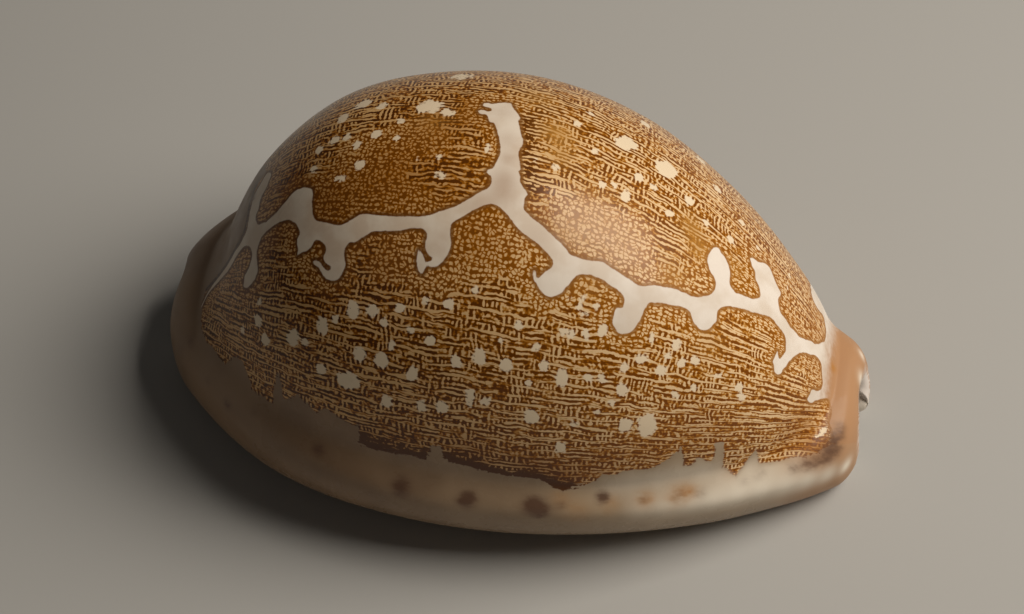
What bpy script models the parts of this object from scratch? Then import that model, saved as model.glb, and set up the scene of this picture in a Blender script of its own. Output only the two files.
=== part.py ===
"""A cowrie shell, one piece: a single wall rolled into a dome, open below in a long slit.

Frame: metres, +Z up. +X is the narrow front end, -Y the outer lip's side, +Y the inner lip's side.
The origin is on the surface the shell rests on, under the middle of its length.
Sizes below are in millimetres and are turned to metres when the mesh is made.
"""

import bmesh
import bpy
import numpy as np

MM = 0.001
SHELL_NAME = "shell"
COLLECTION_NAME = "cowrie_shell"

# Driving size: the shell's whole length, from the broad back end to the narrow front end.
LENGTH = 79.0

# Sizes of eleven sections, from the back end to the front end. They stand close together at the
# ends and 12 mm apart in the middle: at 0, 1.9, 7.5, 16, 27, 39.5, 52, 63, 71.5, 77 and 79 mm.
RIM_REACH_OUTER = (5.2, 9.0, 15.2, 21.0, 24.2, 25.0, 23.4, 20.1, 15.4, 11.3, 9.0)
RIM_REACH_INNER = (6.2, 7.8, 12.8, 19.8, 23.6, 24.5, 22.3, 16.6, 9.2, 5.6, 4.6)
RIM_TOP = (9.0, 12.2, 15.5, 16.0, 15.0, 14.5, 13.5, 12.5, 11.5, 11.0, 9.5)
WIDEST_LEVEL = (5.0, 6.2, 8.0, 9.5, 10.0, 10.0, 9.5, 8.2, 6.8, 5.6, 4.8)
SLIT_CENTRE = (1.8, 2.0, 1.5, 0.2, -1.2, -2.0, -2.3, -2.3, -2.3, -2.3, -2.3)
SLIT_WIDTH = (5.0, 4.8, 4.6, 4.6, 4.7, 4.8, 5.0, 5.2, 5.4, 5.2, 5.0)
LIP_HEIGHT = (2.8, 3.6, 4.8, 5.4, 5.6, 5.6, 5.4, 4.9, 4.2, 3.3, 2.8)
LIP_NOSE = (0.9, 1.5, 2.5, 3.2, 3.4, 3.4, 3.2, 2.8, 2.1, 1.3, 0.9)

# The dome stands inside the rim, with its own eleven sections between these two stations.
DOME_FIRST = 3.4
DOME_LAST = 76.2
DOME_REACH_OUTER = (0.0, 8.0, 15.2, 20.8, 23.6, 24.3, 22.8, 18.9, 13.6, 7.4, 0.0)
DOME_REACH_INNER = (0.0, 4.4, 13.2, 20.4, 23.6, 24.3, 22.5, 17.9, 12.1, 6.6, 0.0)
DOME_TOP = (6.0, 14.0, 26.8, 35.6, 40.1, 41.0, 37.2, 29.8, 21.2, 13.0, 5.0)

# How softly the dome runs into the rim on each side: a crease at 1 mm, a smooth slope at 5 mm.
BLEND_OUTER = (4.0, 5.0, 6.0, 6.5, 6.5, 6.0, 5.0, 3.5, 2.5, 2.0, 2.0)
BLEND_INNER = (1.0, 1.0, 1.0, 1.5, 3.0, 4.0, 4.0, 3.0, 2.0, 1.5, 1.5)

# The hollow is the dome made smaller, and runs out at each end in an open channel.
WALL_TOP = 2.3
WALL_SIDE = 2.9
HOLLOW_FIRST = 7.6
HOLLOW_LAST = 67.0
CHANNEL_RADIUS = 3.1
HOLLOW_BLEND = 2.0

# The end rims' edges are rounded over these lengths.
BACK_ROUNDING = 3.0
FRONT_ROUNDING = 2.2

# The edge of each end isn't straight across: how far it stands out, every 60 degrees round the
# section, from the outer lip, over its lobe, the roof and the inner lip's lobe, to the inner lip.
END_EDGE_REACH = 9.0
BACK_EDGE = (-0.4, 0.0, 0.0, -0.4, 0.0, 0.0, -0.4)
FRONT_EDGE = (-0.9, -0.3, -0.7, -1.1, -0.6, 0.2, 0.1)

# Roundness of the section's ovals: 2 is an ellipse, and more is squarer.
DOME_POWER = 2.1
RIM_POWER = 2.4
HOLLOW_POWER = 2.3

# The base: how far the ovals reach below it before the floor cuts them, how round the corner left
# by that cut is, and the angle from straight up where the mesh's base rows end.
BASE_FULLNESS = 1.25
BASE_CORNER = 1.6
BASE_END_ANGLE = 118.0

# Share of each half of the section over which the inner skin leaves the lip for the hollow.
LIP_RUN_OUT = 0.2
TINY = 1e-6

# Mesh density: steps along the shell, and steps round one side of the wall's section.
STATIONS = 48
NOSE_STEPS = 4
BASE_STEPS = 3
ARC_STEPS = 26


def curve_through(values, place):
    """Smooth curve through evenly spaced values, read at place, from 0 to 1."""
    values = np.asarray(values, float)
    spans = len(values) - 1
    scaled = np.clip(place, 0.0, 1.0) * spans
    index = np.minimum(scaled.astype(int), spans - 1)
    t = scaled - index
    padded = np.concatenate([[2 * values[0] - values[1]], values, [2 * values[-1] - values[-2]]])
    before, start, end, after = (padded[index + k] for k in range(4))
    straight = (end - before) * t
    bend = (2 * before - 5 * start + 4 * end - after) * t ** 2
    twist = (3 * start - before - 3 * end + after) * t ** 3
    return start + 0.5 * (straight + bend + twist)


def station_of(along):
    """Distance from the back end, for along from 0 to 1; stations crowd together at the ends."""
    return LENGTH / 2 * (1 - np.cos(np.pi * along))


def place_within(station, first, last):
    """The same crowding of stations, between first and last, read back from the distance."""
    share = np.clip((station - first) / (last - first), 0.0, 1.0)
    return np.arccos(1 - 2 * share) / np.pi


def smooth_max(a, b, blend):
    near = np.clip(1 - np.abs(a - b) / blend, 0.0, 1.0)
    return np.maximum(a, b) + near ** 2 * blend / 4


def smooth_min(a, b, blend):
    return -smooth_max(-a, -b, blend)


def oval_radius(angle, half_width, half_height, power):
    side = np.abs(np.sin(angle)) / half_width
    rise = np.abs(np.cos(angle)) / half_height
    return (side ** power + rise ** power) ** (-1 / power)


def floor_radius(angle, depth):
    """Distance from the centre to a level floor that lies depth below it."""
    downward = np.maximum(-np.cos(angle), TINY)
    return depth / downward


def outer_radius(along, angle):
    """Distance of the outer skin from the section's centre; angle 0 is up, positive towards +Y."""
    station = station_of(along)
    within = place_within(station, DOME_FIRST, DOME_LAST)
    level = curve_through(WIDEST_LEVEL, along)
    centre = curve_through(SLIT_CENTRE, along)
    inner_side = angle > 0
    rim_reach = np.where(
        inner_side,
        curve_through(RIM_REACH_INNER, along) - centre,
        curve_through(RIM_REACH_OUTER, along) + centre,
    )
    # The dome's ends lie on the shell's middle line, and its sides keep clear of the slit's bend.
    offset = centre * np.sqrt(np.sin(np.pi * within))
    dome_reach = np.where(
        inner_side,
        curve_through(DOME_REACH_INNER, within) - offset,
        curve_through(DOME_REACH_OUTER, within) + offset,
    )
    dome_reach = np.maximum(dome_reach, TINY)
    dome_rise = np.maximum(curve_through(DOME_TOP, within) - level, TINY)
    rim_rise = curve_through(RIM_TOP, along) - level
    upper = np.cos(angle) >= 0
    dome = oval_radius(angle, dome_reach, np.where(upper, dome_rise, level), DOME_POWER)
    rim = oval_radius(angle, rim_reach, np.where(upper, rim_rise, level * BASE_FULLNESS), RIM_POWER)
    lean = (1 + np.sin(np.clip(angle, -np.pi / 2, np.pi / 2))) / 2
    blend = curve_through(BLEND_OUTER, along) * (1 - lean) + curve_through(BLEND_INNER, along) * lean
    skin = smooth_max(dome, rim, blend)
    return smooth_min(skin, floor_radius(angle, level), BASE_CORNER)


def hollow_radius(along, angle):
    """Distance of the inner skin from the section's centre."""
    station = station_of(along)
    within_hollow = place_within(station, HOLLOW_FIRST, HOLLOW_LAST)
    swell = np.sin(np.pi * within_hollow)
    level = curve_through(WIDEST_LEVEL, along)
    centre = curve_through(SLIT_CENTRE, along)
    within_dome = place_within(station, DOME_FIRST, DOME_LAST)
    dome_reach = np.where(
        angle > 0,
        curve_through(DOME_REACH_INNER, within_dome) - centre,
        curve_through(DOME_REACH_OUTER, within_dome) + centre,
    )
    dome_rise = curve_through(DOME_TOP, within_dome) - level
    taper = np.sqrt(np.clip(swell, 0.0, 1.0))
    reach = np.maximum((dome_reach - WALL_SIDE) * taper, TINY)
    rise = np.maximum((dome_rise - WALL_TOP) * taper, TINY)
    depth = level - curve_through(LIP_HEIGHT, along)
    upper = np.cos(angle) >= 0
    hollow = oval_radius(angle, reach, np.where(upper, rise, depth * BASE_FULLNESS), HOLLOW_POWER)
    channel = np.full_like(hollow, CHANNEL_RADIUS)
    skin = smooth_max(hollow, channel, HOLLOW_BLEND)
    return smooth_min(skin, floor_radius(angle, depth), BASE_CORNER)


def nose_share():
    """Share of each half of the wall's section that the rounded edge of its lip takes."""
    return NOSE_STEPS / (NOSE_STEPS + BASE_STEPS + ARC_STEPS / 2)


def section_points(along, from_lip, side):
    """Outer and inner skin, for from_lip from 0 at a lip's edge to 1 at the top of the dome."""
    level = curve_through(WIDEST_LEVEL, along)
    centre = curve_through(SLIT_CENTRE, along)
    half_slit = curve_through(SLIT_WIDTH, along) / 2
    lip = curve_through(LIP_HEIGHT, along)
    nose = curve_through(LIP_NOSE, along)
    base_share = nose_share() * (NOSE_STEPS + BASE_STEPS) / NOSE_STEPS
    slit_angle = np.pi - np.arctan2(half_slit + nose, level)
    corner_angle = np.radians(BASE_END_ANGLE)

    base_part = np.clip((from_lip - nose_share()) / (base_share - nose_share()), 0, 1)
    arc_part = np.clip((from_lip - base_share) / (1 - base_share), 0, 1)
    angle = slit_angle + (corner_angle - slit_angle) * base_part
    angle = angle * (1 - arc_part)
    radius = outer_radius(along, side * angle)
    y_outer = centre + side * radius * np.sin(angle)
    z_outer = level + radius * np.cos(angle)

    on_nose = from_lip < nose_share() - TINY
    swing = np.pi * np.clip(from_lip / nose_share(), 0, 1)
    y_nose = centre + side * (half_slit + nose - nose * np.sin(swing))
    z_nose = lip / 2 * (1 + np.cos(swing))
    y_outer = np.where(on_nose, y_nose, y_outer)
    z_outer = np.where(on_nose, z_nose, z_outer)

    inner_angle = np.pi - np.arctan2(half_slit + nose, level - lip)
    angle = inner_angle * (1 - from_lip)
    nose_top_radius = np.hypot(half_slit + nose, level - lip)
    away = np.clip(from_lip / LIP_RUN_OUT, 0, 1)
    away = away * away * (3 - 2 * away)
    radius = nose_top_radius + away * (hollow_radius(along, side * angle) - nose_top_radius)
    y_inner = centre + side * radius * np.sin(angle)
    z_inner = level + radius * np.cos(angle)
    return (y_outer, z_outer), (y_inner, z_inner)


def end_weight(station):
    """0 at either end and 1 away from it, so that the wall's edge there is round."""
    back = np.clip(station / BACK_ROUNDING, 0.0, 1.0)
    front = np.clip((LENGTH - station) / FRONT_ROUNDING, 0.0, 1.0)
    share = np.minimum(back, front)
    return np.sqrt(1 - (1 - share) ** 2)


def end_shift(station, side, from_lip):
    """How far the wall moves along X, so that the ends have their lobes and their set-back roof."""
    around = np.where(side < 0, from_lip / 2, 1 - from_lip / 2)
    front = np.clip(1 - (LENGTH - station) / END_EDGE_REACH, 0.0, 1.0) ** 2
    back = np.clip(1 - station / END_EDGE_REACH, 0.0, 1.0) ** 2
    return front * curve_through(FRONT_EDGE, around) - back * curve_through(BACK_EDGE, around)


def wall_point(along, turn, on_outer):
    """Place of the wall's skin in millimetres; on_outer picks the outer or the inner skin.

    turn runs from 0, at the outer lip's edge, to 1, at the inner lip's. At the ends both skins
    close on the middle of the wall, and each lip's rounded edge closes on the middle of the lip.
    """
    side = np.where(turn < 0.5, -1.0, 1.0)
    from_lip = np.where(turn < 0.5, turn, 1 - turn) * 2
    (y_outer, z_outer), (y_inner, z_inner) = section_points(along, from_lip, side)
    y_skin = np.where(on_outer, y_outer, y_inner)
    z_skin = np.where(on_outer, z_outer, z_inner)
    past_nose = np.maximum(from_lip, nose_share())
    (y_outer, z_outer), (y_inner, z_inner) = section_points(along, past_nose, side)
    y_middle = (y_outer + y_inner) / 2
    z_middle = (z_outer + z_inner) / 2
    station = station_of(along)
    weight = end_weight(station)
    y = y_middle + weight * (y_skin - y_middle)
    z = z_middle + weight * (z_skin - z_middle)
    x = station - LENGTH / 2 + end_shift(station, side, from_lip)
    return x, y, np.where(np.abs(z) < TINY, 0.0, z)


def build_shell(collection):
    steps_one_skin = 2 * (NOSE_STEPS + BASE_STEPS) + ARC_STEPS
    mesh_work = bmesh.new()
    bmesh.ops.create_grid(mesh_work, x_segments=2 * steps_one_skin, y_segments=STATIONS, size=1.0)
    flat = np.array([vert.co[:] for vert in mesh_work.verts])
    column = np.rint((flat[:, 0] + 1) * steps_one_skin)
    along = np.rint((flat[:, 1] + 1) / 2 * STATIONS) / STATIONS
    on_outer = column < steps_one_skin
    turn = np.where(on_outer, column, 2 * steps_one_skin - column) / steps_one_skin
    x, y, z = wall_point(along, turn, on_outer)
    for vert, place in zip(mesh_work.verts, np.stack([x, y, z], axis=1) * MM):
        vert.co = place
    bmesh.ops.remove_doubles(mesh_work, verts=mesh_work.verts, dist=TINY)
    bmesh.ops.recalc_face_normals(mesh_work, faces=mesh_work.faces)

    mesh = bpy.data.meshes.new(SHELL_NAME)
    mesh_work.to_mesh(mesh)
    mesh_work.free()
    mesh.shade_smooth()
    mesh.materials.append(enamel_material())
    shell = bpy.data.objects.new(SHELL_NAME, mesh)
    collection.objects.link(shell)
    return shell


def enamel_material():
    material = bpy.data.materials.new("shell_enamel")
    material.use_nodes = True
    surface = material.node_tree.nodes["Principled BSDF"]
    surface.inputs["Base Color"].default_value = (0.62, 0.45, 0.24, 1.0)
    surface.inputs["Roughness"].default_value = 0.22
    surface.inputs["Metallic"].default_value = 0.0
    return material


def clear_scene():
    for item in list(bpy.data.objects):
        bpy.data.objects.remove(item, do_unlink=True)


def main():
    clear_scene()
    collection = bpy.data.collections.new(COLLECTION_NAME)
    bpy.context.scene.collection.children.link(collection)
    build_shell(collection)


main()
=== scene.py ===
"""The looks of a cowrie shell: a map-like cream line over a maze of fine brown lines, under gloss.

Lengths are in millimetres until the mesh is made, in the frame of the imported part: +X is the narrow
front end, -Y the outer lip's side, +Z up, and the shell rests on Z = 0.
"""

import math

import bmesh
import bpy
import numpy as np
from mathutils import Matrix, Vector
from mathutils.bvhtree import BVHTree
from mathutils.kdtree import KDTree


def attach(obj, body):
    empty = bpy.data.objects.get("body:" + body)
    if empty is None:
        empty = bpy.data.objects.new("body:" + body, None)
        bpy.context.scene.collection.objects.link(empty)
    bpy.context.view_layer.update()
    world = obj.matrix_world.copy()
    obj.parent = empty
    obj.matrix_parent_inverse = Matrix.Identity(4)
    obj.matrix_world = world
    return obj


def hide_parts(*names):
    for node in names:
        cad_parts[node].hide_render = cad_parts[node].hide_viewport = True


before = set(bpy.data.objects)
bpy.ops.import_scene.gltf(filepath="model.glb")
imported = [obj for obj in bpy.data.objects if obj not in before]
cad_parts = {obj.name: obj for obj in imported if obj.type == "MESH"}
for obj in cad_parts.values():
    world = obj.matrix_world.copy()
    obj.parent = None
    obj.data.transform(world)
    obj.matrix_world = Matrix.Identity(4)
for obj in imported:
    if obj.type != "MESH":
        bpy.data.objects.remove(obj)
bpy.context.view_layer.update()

MM = 0.001
TINY = 1e-6

# The shell's form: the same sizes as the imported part, in eleven sections from back to front.
LENGTH = 79.0
RIM_REACH_OUTER = (5.2, 9.0, 15.2, 21.0, 24.2, 25.0, 23.4, 20.1, 15.4, 11.3, 9.0)
RIM_REACH_INNER = (6.2, 7.8, 12.8, 19.8, 23.6, 24.5, 22.3, 16.6, 9.2, 5.6, 4.6)
RIM_TOP = (9.0, 12.2, 15.5, 16.0, 15.0, 14.5, 13.5, 12.5, 11.5, 11.0, 9.5)
WIDEST_LEVEL = (5.0, 6.2, 8.0, 9.5, 10.0, 10.0, 9.5, 8.2, 6.8, 5.6, 4.8)
SLIT_CENTRE = (1.8, 2.0, 1.5, 0.2, -1.2, -2.0, -2.3, -2.3, -2.3, -2.3, -2.3)
SLIT_WIDTH = (5.0, 4.8, 4.6, 4.6, 4.7, 4.8, 5.0, 5.2, 5.4, 5.2, 5.0)
LIP_HEIGHT = (2.8, 3.6, 4.8, 5.4, 5.6, 5.6, 5.4, 4.9, 4.2, 3.3, 2.8)
LIP_NOSE = (0.9, 1.5, 2.5, 3.2, 3.4, 3.4, 3.2, 2.8, 2.1, 1.3, 0.9)
DOME_FIRST = 3.4
DOME_LAST = 76.2
DOME_REACH_OUTER = (0.0, 8.0, 15.2, 20.8, 23.6, 24.3, 22.8, 18.9, 13.6, 7.4, 0.0)
DOME_REACH_INNER = (0.0, 4.4, 13.2, 20.4, 23.6, 24.3, 22.5, 17.9, 12.1, 6.6, 0.0)
DOME_TOP = (6.0, 14.0, 26.8, 35.6, 40.1, 41.0, 37.2, 29.8, 21.2, 13.0, 5.0)
BLEND_OUTER = (4.0, 5.0, 6.0, 6.5, 6.5, 6.0, 5.0, 3.5, 2.5, 2.0, 2.0)
BLEND_INNER = (1.0, 1.0, 1.0, 1.5, 3.0, 4.0, 4.0, 3.0, 2.0, 1.5, 1.5)
WALL_TOP = 2.3
WALL_SIDE = 2.9
HOLLOW_FIRST = 7.6
HOLLOW_LAST = 67.0
CHANNEL_RADIUS = 3.1
HOLLOW_BLEND = 2.0
BACK_ROUNDING = 3.0
FRONT_ROUNDING = 2.2
END_EDGE_REACH = 9.0
BACK_EDGE = (-0.4, 0.0, 0.0, -0.4, 0.0, 0.0, -0.4)
FRONT_EDGE = (-0.9, -0.3, -0.7, -1.1, -0.6, 0.2, 0.1)
DOME_POWER = 2.1
RIM_POWER = 2.4
HOLLOW_POWER = 2.3
BASE_FULLNESS = 1.25
BASE_CORNER = 1.6
BASE_END_ANGLE = 118.0
LIP_RUN_OUT = 0.2
NOSE_SHARE = 0.2
BASE_SHARE = 0.35

# The fine mesh: rows along the shell, and columns round one skin from lip to lip.
STATIONS = 276
END_CROWDING = 0.35
NOSE_COLUMNS = 12
BASE_COLUMNS = 10
ARC_COLUMNS = 106
THINNED_EVERY = 4

# Teeth: grooves cut across both lips, which leave rounded ridges between them.
TOOTH_FIRST = 6.0
TOOTH_LAST = 73.0
TEETH = 36
GROOVE_DEPTH = 0.5
GROOVE_RUN_OUT = 0.085

# The camera that sees the shell as the photograph does.
PHOTO_WIDTH = 1024
PHOTO_HEIGHT = 614
CAMERA_TURN = 9.4
CAMERA_RISE = 52.0
CAMERA_DISTANCE = 309.5
CAMERA_TARGET = (-0.2, -4.0, 18.0)
CAMERA_LENS = 100.0
CAMERA_SENSOR = 36.0

# The cream line and the pale collar it runs into, as one closed outline read off the photograph, in
# pixels, clockwise from the hook at the branch's head. It closes off the shell's front end.
LINE_OUTLINE = (
    (479, 110), (484, 110.3), (488, 111.5), (492, 110.5), (491, 107.8), (487, 107), (483, 105.8),
    (483.5, 103.5), (488, 103), (492, 104), (500, 103), (510, 103), (512.5, 107), (516, 112),
    (520.5, 118.5), (518.5, 120), (519, 124), (520, 128), (521, 134), (522.5, 139), (523, 143),
    (522.5, 146), (520, 148), (518.5, 153), (519, 158), (520, 165), (520.5, 169), (518.5, 171.5),
    (520, 176), (520, 181), (522, 185), (525, 190), (528, 195), (525, 198), (523.6, 205),
    (524.4, 210), (530, 216), (536, 221), (540, 224), (550, 233), (556, 239), (561, 244),
    (567, 250), (571, 255), (577, 257.5), (583, 259.5), (590, 260.6), (595.7, 260.8),
    (601.2, 261.6), (605.1, 263.2), (608.3, 265.5), (611.4, 267.9), (615.4, 270.3), (619.3, 273),
    (624, 276.1), (628.7, 278.9), (632.7, 281.7), (636.6, 284), (641.3, 286), (645.2, 286.4),
    (649.2, 285.6), (653.1, 285.4), (658.6, 286), (664.1, 287.2), (670.4, 287.9), (676.7, 289.5),
    (681.4, 291.9), (685.5, 293.3), (689.7, 295.4), (694.1, 296.8), (699.6, 297.3),
    (704.4, 296.3), (709.1, 295.1), (712.2, 293.2), (714.6, 290), (715.8, 285.3), (715.4, 280.6),
    (713.8, 276.7), (711.4, 273.5), (709.9, 270.4), (708.7, 266.4), (707.7, 262.5),
    (707.5, 258.6), (708.7, 254.6), (710.6, 251.5), (712.2, 249.1), (714.6, 247.6),
    (717.7, 247.6), (719.7, 249.9), (720.9, 253.1), (724, 256.2), (726.4, 260.1), (727.9, 264.1),
    (729.1, 268.8), (729.9, 273.5), (729.5, 278.2), (729.5, 282.9), (730.7, 286.9), (733.4, 290),
    (735.8, 292.8), (739.7, 293.9), (742.9, 295.5), (746.8, 297.1), (751.5, 298.8),
    (756.2, 298.8), (759.4, 297.9), (760.6, 295.5), (760.2, 291.6), (759.4, 287.7),
    (757.8, 283.7), (756.2, 280.6), (755.4, 276.7), (755.4, 272.7), (754.3, 269.6),
    (752.3, 266.4), (751.1, 262.5), (749.9, 258.6), (751.1, 257.4), (753.9, 258.6),
    (758.6, 262.1), (763.3, 262.9), (767.2, 264.9), (769.6, 268), (771.6, 271.9), (773.5, 277.4),
    (775.9, 282.9), (778.2, 287.7), (780.4, 292), (780.4, 294.7), (778.8, 297.1), (778.2, 300.2),
    (778.8, 306.5), (780.2, 312), (784.8, 318.3), (787.6, 322.8), (790.5, 327.5), (793.7, 330.3),
    (796.4, 333.8), (800.2, 337.3), (805.7, 339.7), (810.4, 341.1), (814.1, 343.4),
    (818.7, 344.3), (821.5, 342.6), (824.3, 341.5), (825.7, 337.8), (826, 333.2), (825.7, 327.6),
    (824.8, 322), (823.8, 317.4), (822, 313.7), (818.7, 309.9), (815.9, 305.3), (813.2, 299.7),
    (811.8, 295.1), (811.3, 290.4), (814, 284), (850, 284), (900, 300), (900, 440), (860, 446),
    (838, 446), (832.5, 430), (829.5, 423), (830.8, 418), (832, 412), (831.2, 406), (829.8, 401),
    (827.5, 398.5), (824.5, 398), (820, 399.2), (815, 400.5), (812.5, 402.5), (809.5, 402),
    (807.5, 399.5), (809, 396), (810.5, 393), (812, 390), (815.5, 390.5), (818.7, 390.7),
    (821.5, 388.9), (822.9, 383.3), (822.3, 376.8), (822, 370.3), (821.5, 364.7), (819.7, 360.1),
    (816.9, 356.8), (814.1, 355), (809.4, 354.1), (805.7, 352.4), (802, 352.4), (798.3, 353.6),
    (794.6, 355.9), (791.8, 358.7), (789, 361), (787.2, 364.7), (785.3, 367.1), (782.5, 369.4),
    (781.6, 372.2), (779.3, 374.2), (776, 373.6), (774.3, 370.3), (773.7, 365.7), (772.8, 361.5),
    (774.1, 358.2), (775.5, 354.5), (777.4, 351.2), (778, 355), (779.5, 358.8), (782, 356.4),
    (783.9, 353.6), (785.8, 350.8), (786, 346.2), (786, 341.5), (784.8, 335.9), (782.5, 331.3),
    (779.7, 327.6), (776.4, 323.9), (773.8, 320.1), (770, 317.1), (766, 315.7), (761.5, 314.6),
    (755.4, 312.8), (750.7, 311.6), (746.8, 310), (742.9, 308.9), (739.7, 307.7), (734.2, 307.3),
    (730.3, 306.1), (725.6, 306.1), (721.7, 307.3), (718.9, 309.3), (717.3, 312.4),
    (716.9, 316.7), (716.1, 321.4), (713, 324.6), (710.8, 327.5), (707, 329.4), (703.4, 329.7),
    (699.4, 328.8), (696.9, 326.2), (694.1, 323), (692.5, 319.3), (691.6, 316), (691, 313.6),
    (688.5, 310.3), (684.6, 308), (679.9, 306.1), (674.3, 305.4), (668.8, 304.4), (664.1, 303.3),
    (659.4, 302.5), (654.7, 302.5), (649.9, 302.5), (647.6, 303.7), (646.4, 306.8), (644, 309.2),
    (642.9, 313.1), (641.3, 317), (640.1, 320.2), (637.4, 323.3), (635, 327.2), (632.7, 330.4),
    (628.7, 332.7), (624, 333.9), (620.1, 333.5), (617.7, 331.9), (615.8, 328.8), (613.4, 325.3),
    (612.6, 321.7), (613.4, 317), (614.2, 313.1), (615.8, 309.2), (617.7, 308), (622.4, 308),
    (623.6, 305.2), (624.6, 301.3), (624.4, 298.2), (622.8, 295), (620.1, 291.9), (616.1, 288.7),
    (612.2, 286.4), (608.3, 284), (604.4, 280.5), (600.4, 278.1), (595.7, 276.5), (590, 274.5),
    (583, 274), (578, 275), (574, 278), (571, 282), (566, 287), (562, 292), (555, 296),
    (549, 297), (545, 295), (541, 291), (538.5, 287), (536, 283), (534, 280), (533, 275),
    (534.5, 270), (536, 273), (536.5, 277), (539, 278), (542, 275), (545, 272), (549, 270),
    (552, 267), (553, 262), (551, 258), (548, 254), (543, 249), (538, 244), (530, 238),
    (521, 231), (516, 226), (512, 221), (508, 215), (503, 210), (498, 206), (493, 204),
    (487, 204.5), (480, 207), (470, 212), (463, 216), (458, 219), (453, 222), (450.5, 226),
    (450, 232), (450.5, 238), (451, 243), (450, 248), (448.5, 253), (446, 257), (443, 261),
    (439, 265), (435, 267), (430, 266.5), (427, 265), (425.5, 267.5), (424, 271), (421.5, 274),
    (418.5, 270), (417, 262), (417.5, 255), (418.5, 250), (421.5, 253), (424, 258), (425.5, 262),
    (428, 261.5), (431, 260.5), (432.5, 258), (430, 256), (427, 252), (425, 247), (425.5, 243),
    (427, 238), (427.5, 235), (426, 231.5), (423.5, 229), (420, 228), (413, 228), (408, 229),
    (400, 230.5), (390, 231), (380, 231), (373, 231.5), (368, 234), (363, 237), (359, 240),
    (355, 242), (350, 242), (347, 245), (344.5, 249), (344, 254), (344.5, 259), (345.5, 264),
    (344, 270), (341.5, 275), (338, 279), (332, 280.5), (327, 279), (323.5, 275.5), (320.5, 271),
    (319, 267.5), (315, 265), (313, 262), (316, 260.5), (319.5, 262), (322.5, 266), (326, 270),
    (329.5, 270.5), (331, 267), (327, 264), (324, 260), (324, 256), (326, 251), (326, 247),
    (324, 243.5), (320, 240.5), (316, 240), (314, 241.5), (312, 246), (308, 250), (303, 252),
    (299, 254.5), (297, 255), (298.2, 249), (297.3, 243.5), (297.3, 239), (298.6, 236.4),
    (299.8, 233.8), (299.6, 230.2), (298, 226.6), (295.8, 223.5), (292.7, 221.3), (289.1, 219.9),
    (285.5, 220.2), (282, 221.1), (278.4, 222.6), (274.8, 224.8), (271.3, 227.5), (267.7, 230.2),
    (264.1, 233.8), (261.4, 237.3), (260.1, 240.9), (258.3, 245.4), (257, 249.8), (256.5, 254.3),
    (257, 260.5), (257.4, 265), (257.9, 270), (257.4, 273), (255.9, 276.2), (254.6, 279.5),
    (251.9, 282.9), (249.2, 286.2), (247, 288), (244.5, 287), (243.6, 285.1), (244.3, 280.2),
    (244.9, 275.7), (247.1, 271.3), (249.4, 266.8), (250.7, 262.3), (251.6, 258.8),
    (252.1, 254.3), (251.6, 249.8), (250.3, 247.2), (248, 245.6), (245.4, 246), (242.3, 248),
    (238.3, 253.2), (234.8, 259.2), (231.5, 265), (228, 270.6), (223.6, 275.8), (218.9, 281.4),
    (214.2, 286.5), (209.9, 291.4), (206.6, 296.8), (203.8, 302.6), (201.2, 308.6),
    (199.4, 311.2), (200.6, 307.4), (203.2, 301.6), (206, 295.8), (209.2, 290.4), (212.6, 285.2),
    (216.9, 279.4), (221.6, 273.4), (225.3, 268.2), (228.6, 263), (231.9, 257.4), (235, 251.4),
    (238.7, 246.5), (241.3, 242.2), (243.6, 237.3), (245.8, 232.9), (247.6, 227.5), (248.2, 223),
    (248.9, 218.6), (249.8, 213.2), (251.2, 207), (252.5, 200.7), (254.7, 194.5), (257.4, 189.1),
    (260.5, 184.2), (263.2, 179.3), (265.9, 174.8), (268.3, 172.6), (270.8, 173.4),
    (270.4, 177.5), (268.6, 181.5), (266.8, 186.4), (264.6, 190.9), (261.9, 195.4),
    (260.1, 200.3), (259.2, 205.2), (258.3, 209.6), (256.5, 213.2), (255.6, 216.8),
    (255.6, 220.4), (257, 223.5), (259.2, 224.8), (262.3, 223.5), (265.9, 222.1), (268.6, 219.9),
    (272.6, 216.3), (276.6, 212.3), (280.2, 208.3), (283.8, 203.8), (287.3, 199.8), (290, 196.3),
    (292.7, 193.1), (296.3, 190.4), (299.8, 189.1), (304, 187.5), (309.5, 188.5), (312.5, 191),
    (312.5, 196), (312, 203), (312.5, 210), (313.5, 216), (316, 220.5), (321, 222), (328, 223),
    (334, 224.5), (340, 225.5), (345, 223.5), (350, 220.5), (355, 217.5), (360, 214.5),
    (365, 214), (372, 215), (380, 215.5), (390, 216), (402, 216.5), (410, 216.5), (418, 217),
    (426, 216), (432, 214.5), (440, 211.5), (446, 209.5), (452, 208), (458, 205), (465, 201),
    (471, 198), (476, 194.5), (482, 191), (488, 188), (491, 184), (492, 180), (491, 176),
    (488, 174), (486.5, 171), (488.5, 169.5), (492.5, 168.5), (495, 165), (497.5, 160),
    (500, 155), (500.5, 150), (500, 144), (499, 138), (497.5, 132), (496, 127), (494, 123),
    (489.5, 121.5), (488, 117), (486, 114.5), (481, 114), (478.5, 112),
)
OUTLINE_STEPS = 10
REFINED_REACH = 0.42

# The pattern's flat coordinates: its stations, and its angles at this many millimetres a degree.
AROUND_MM = 0.42

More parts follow.
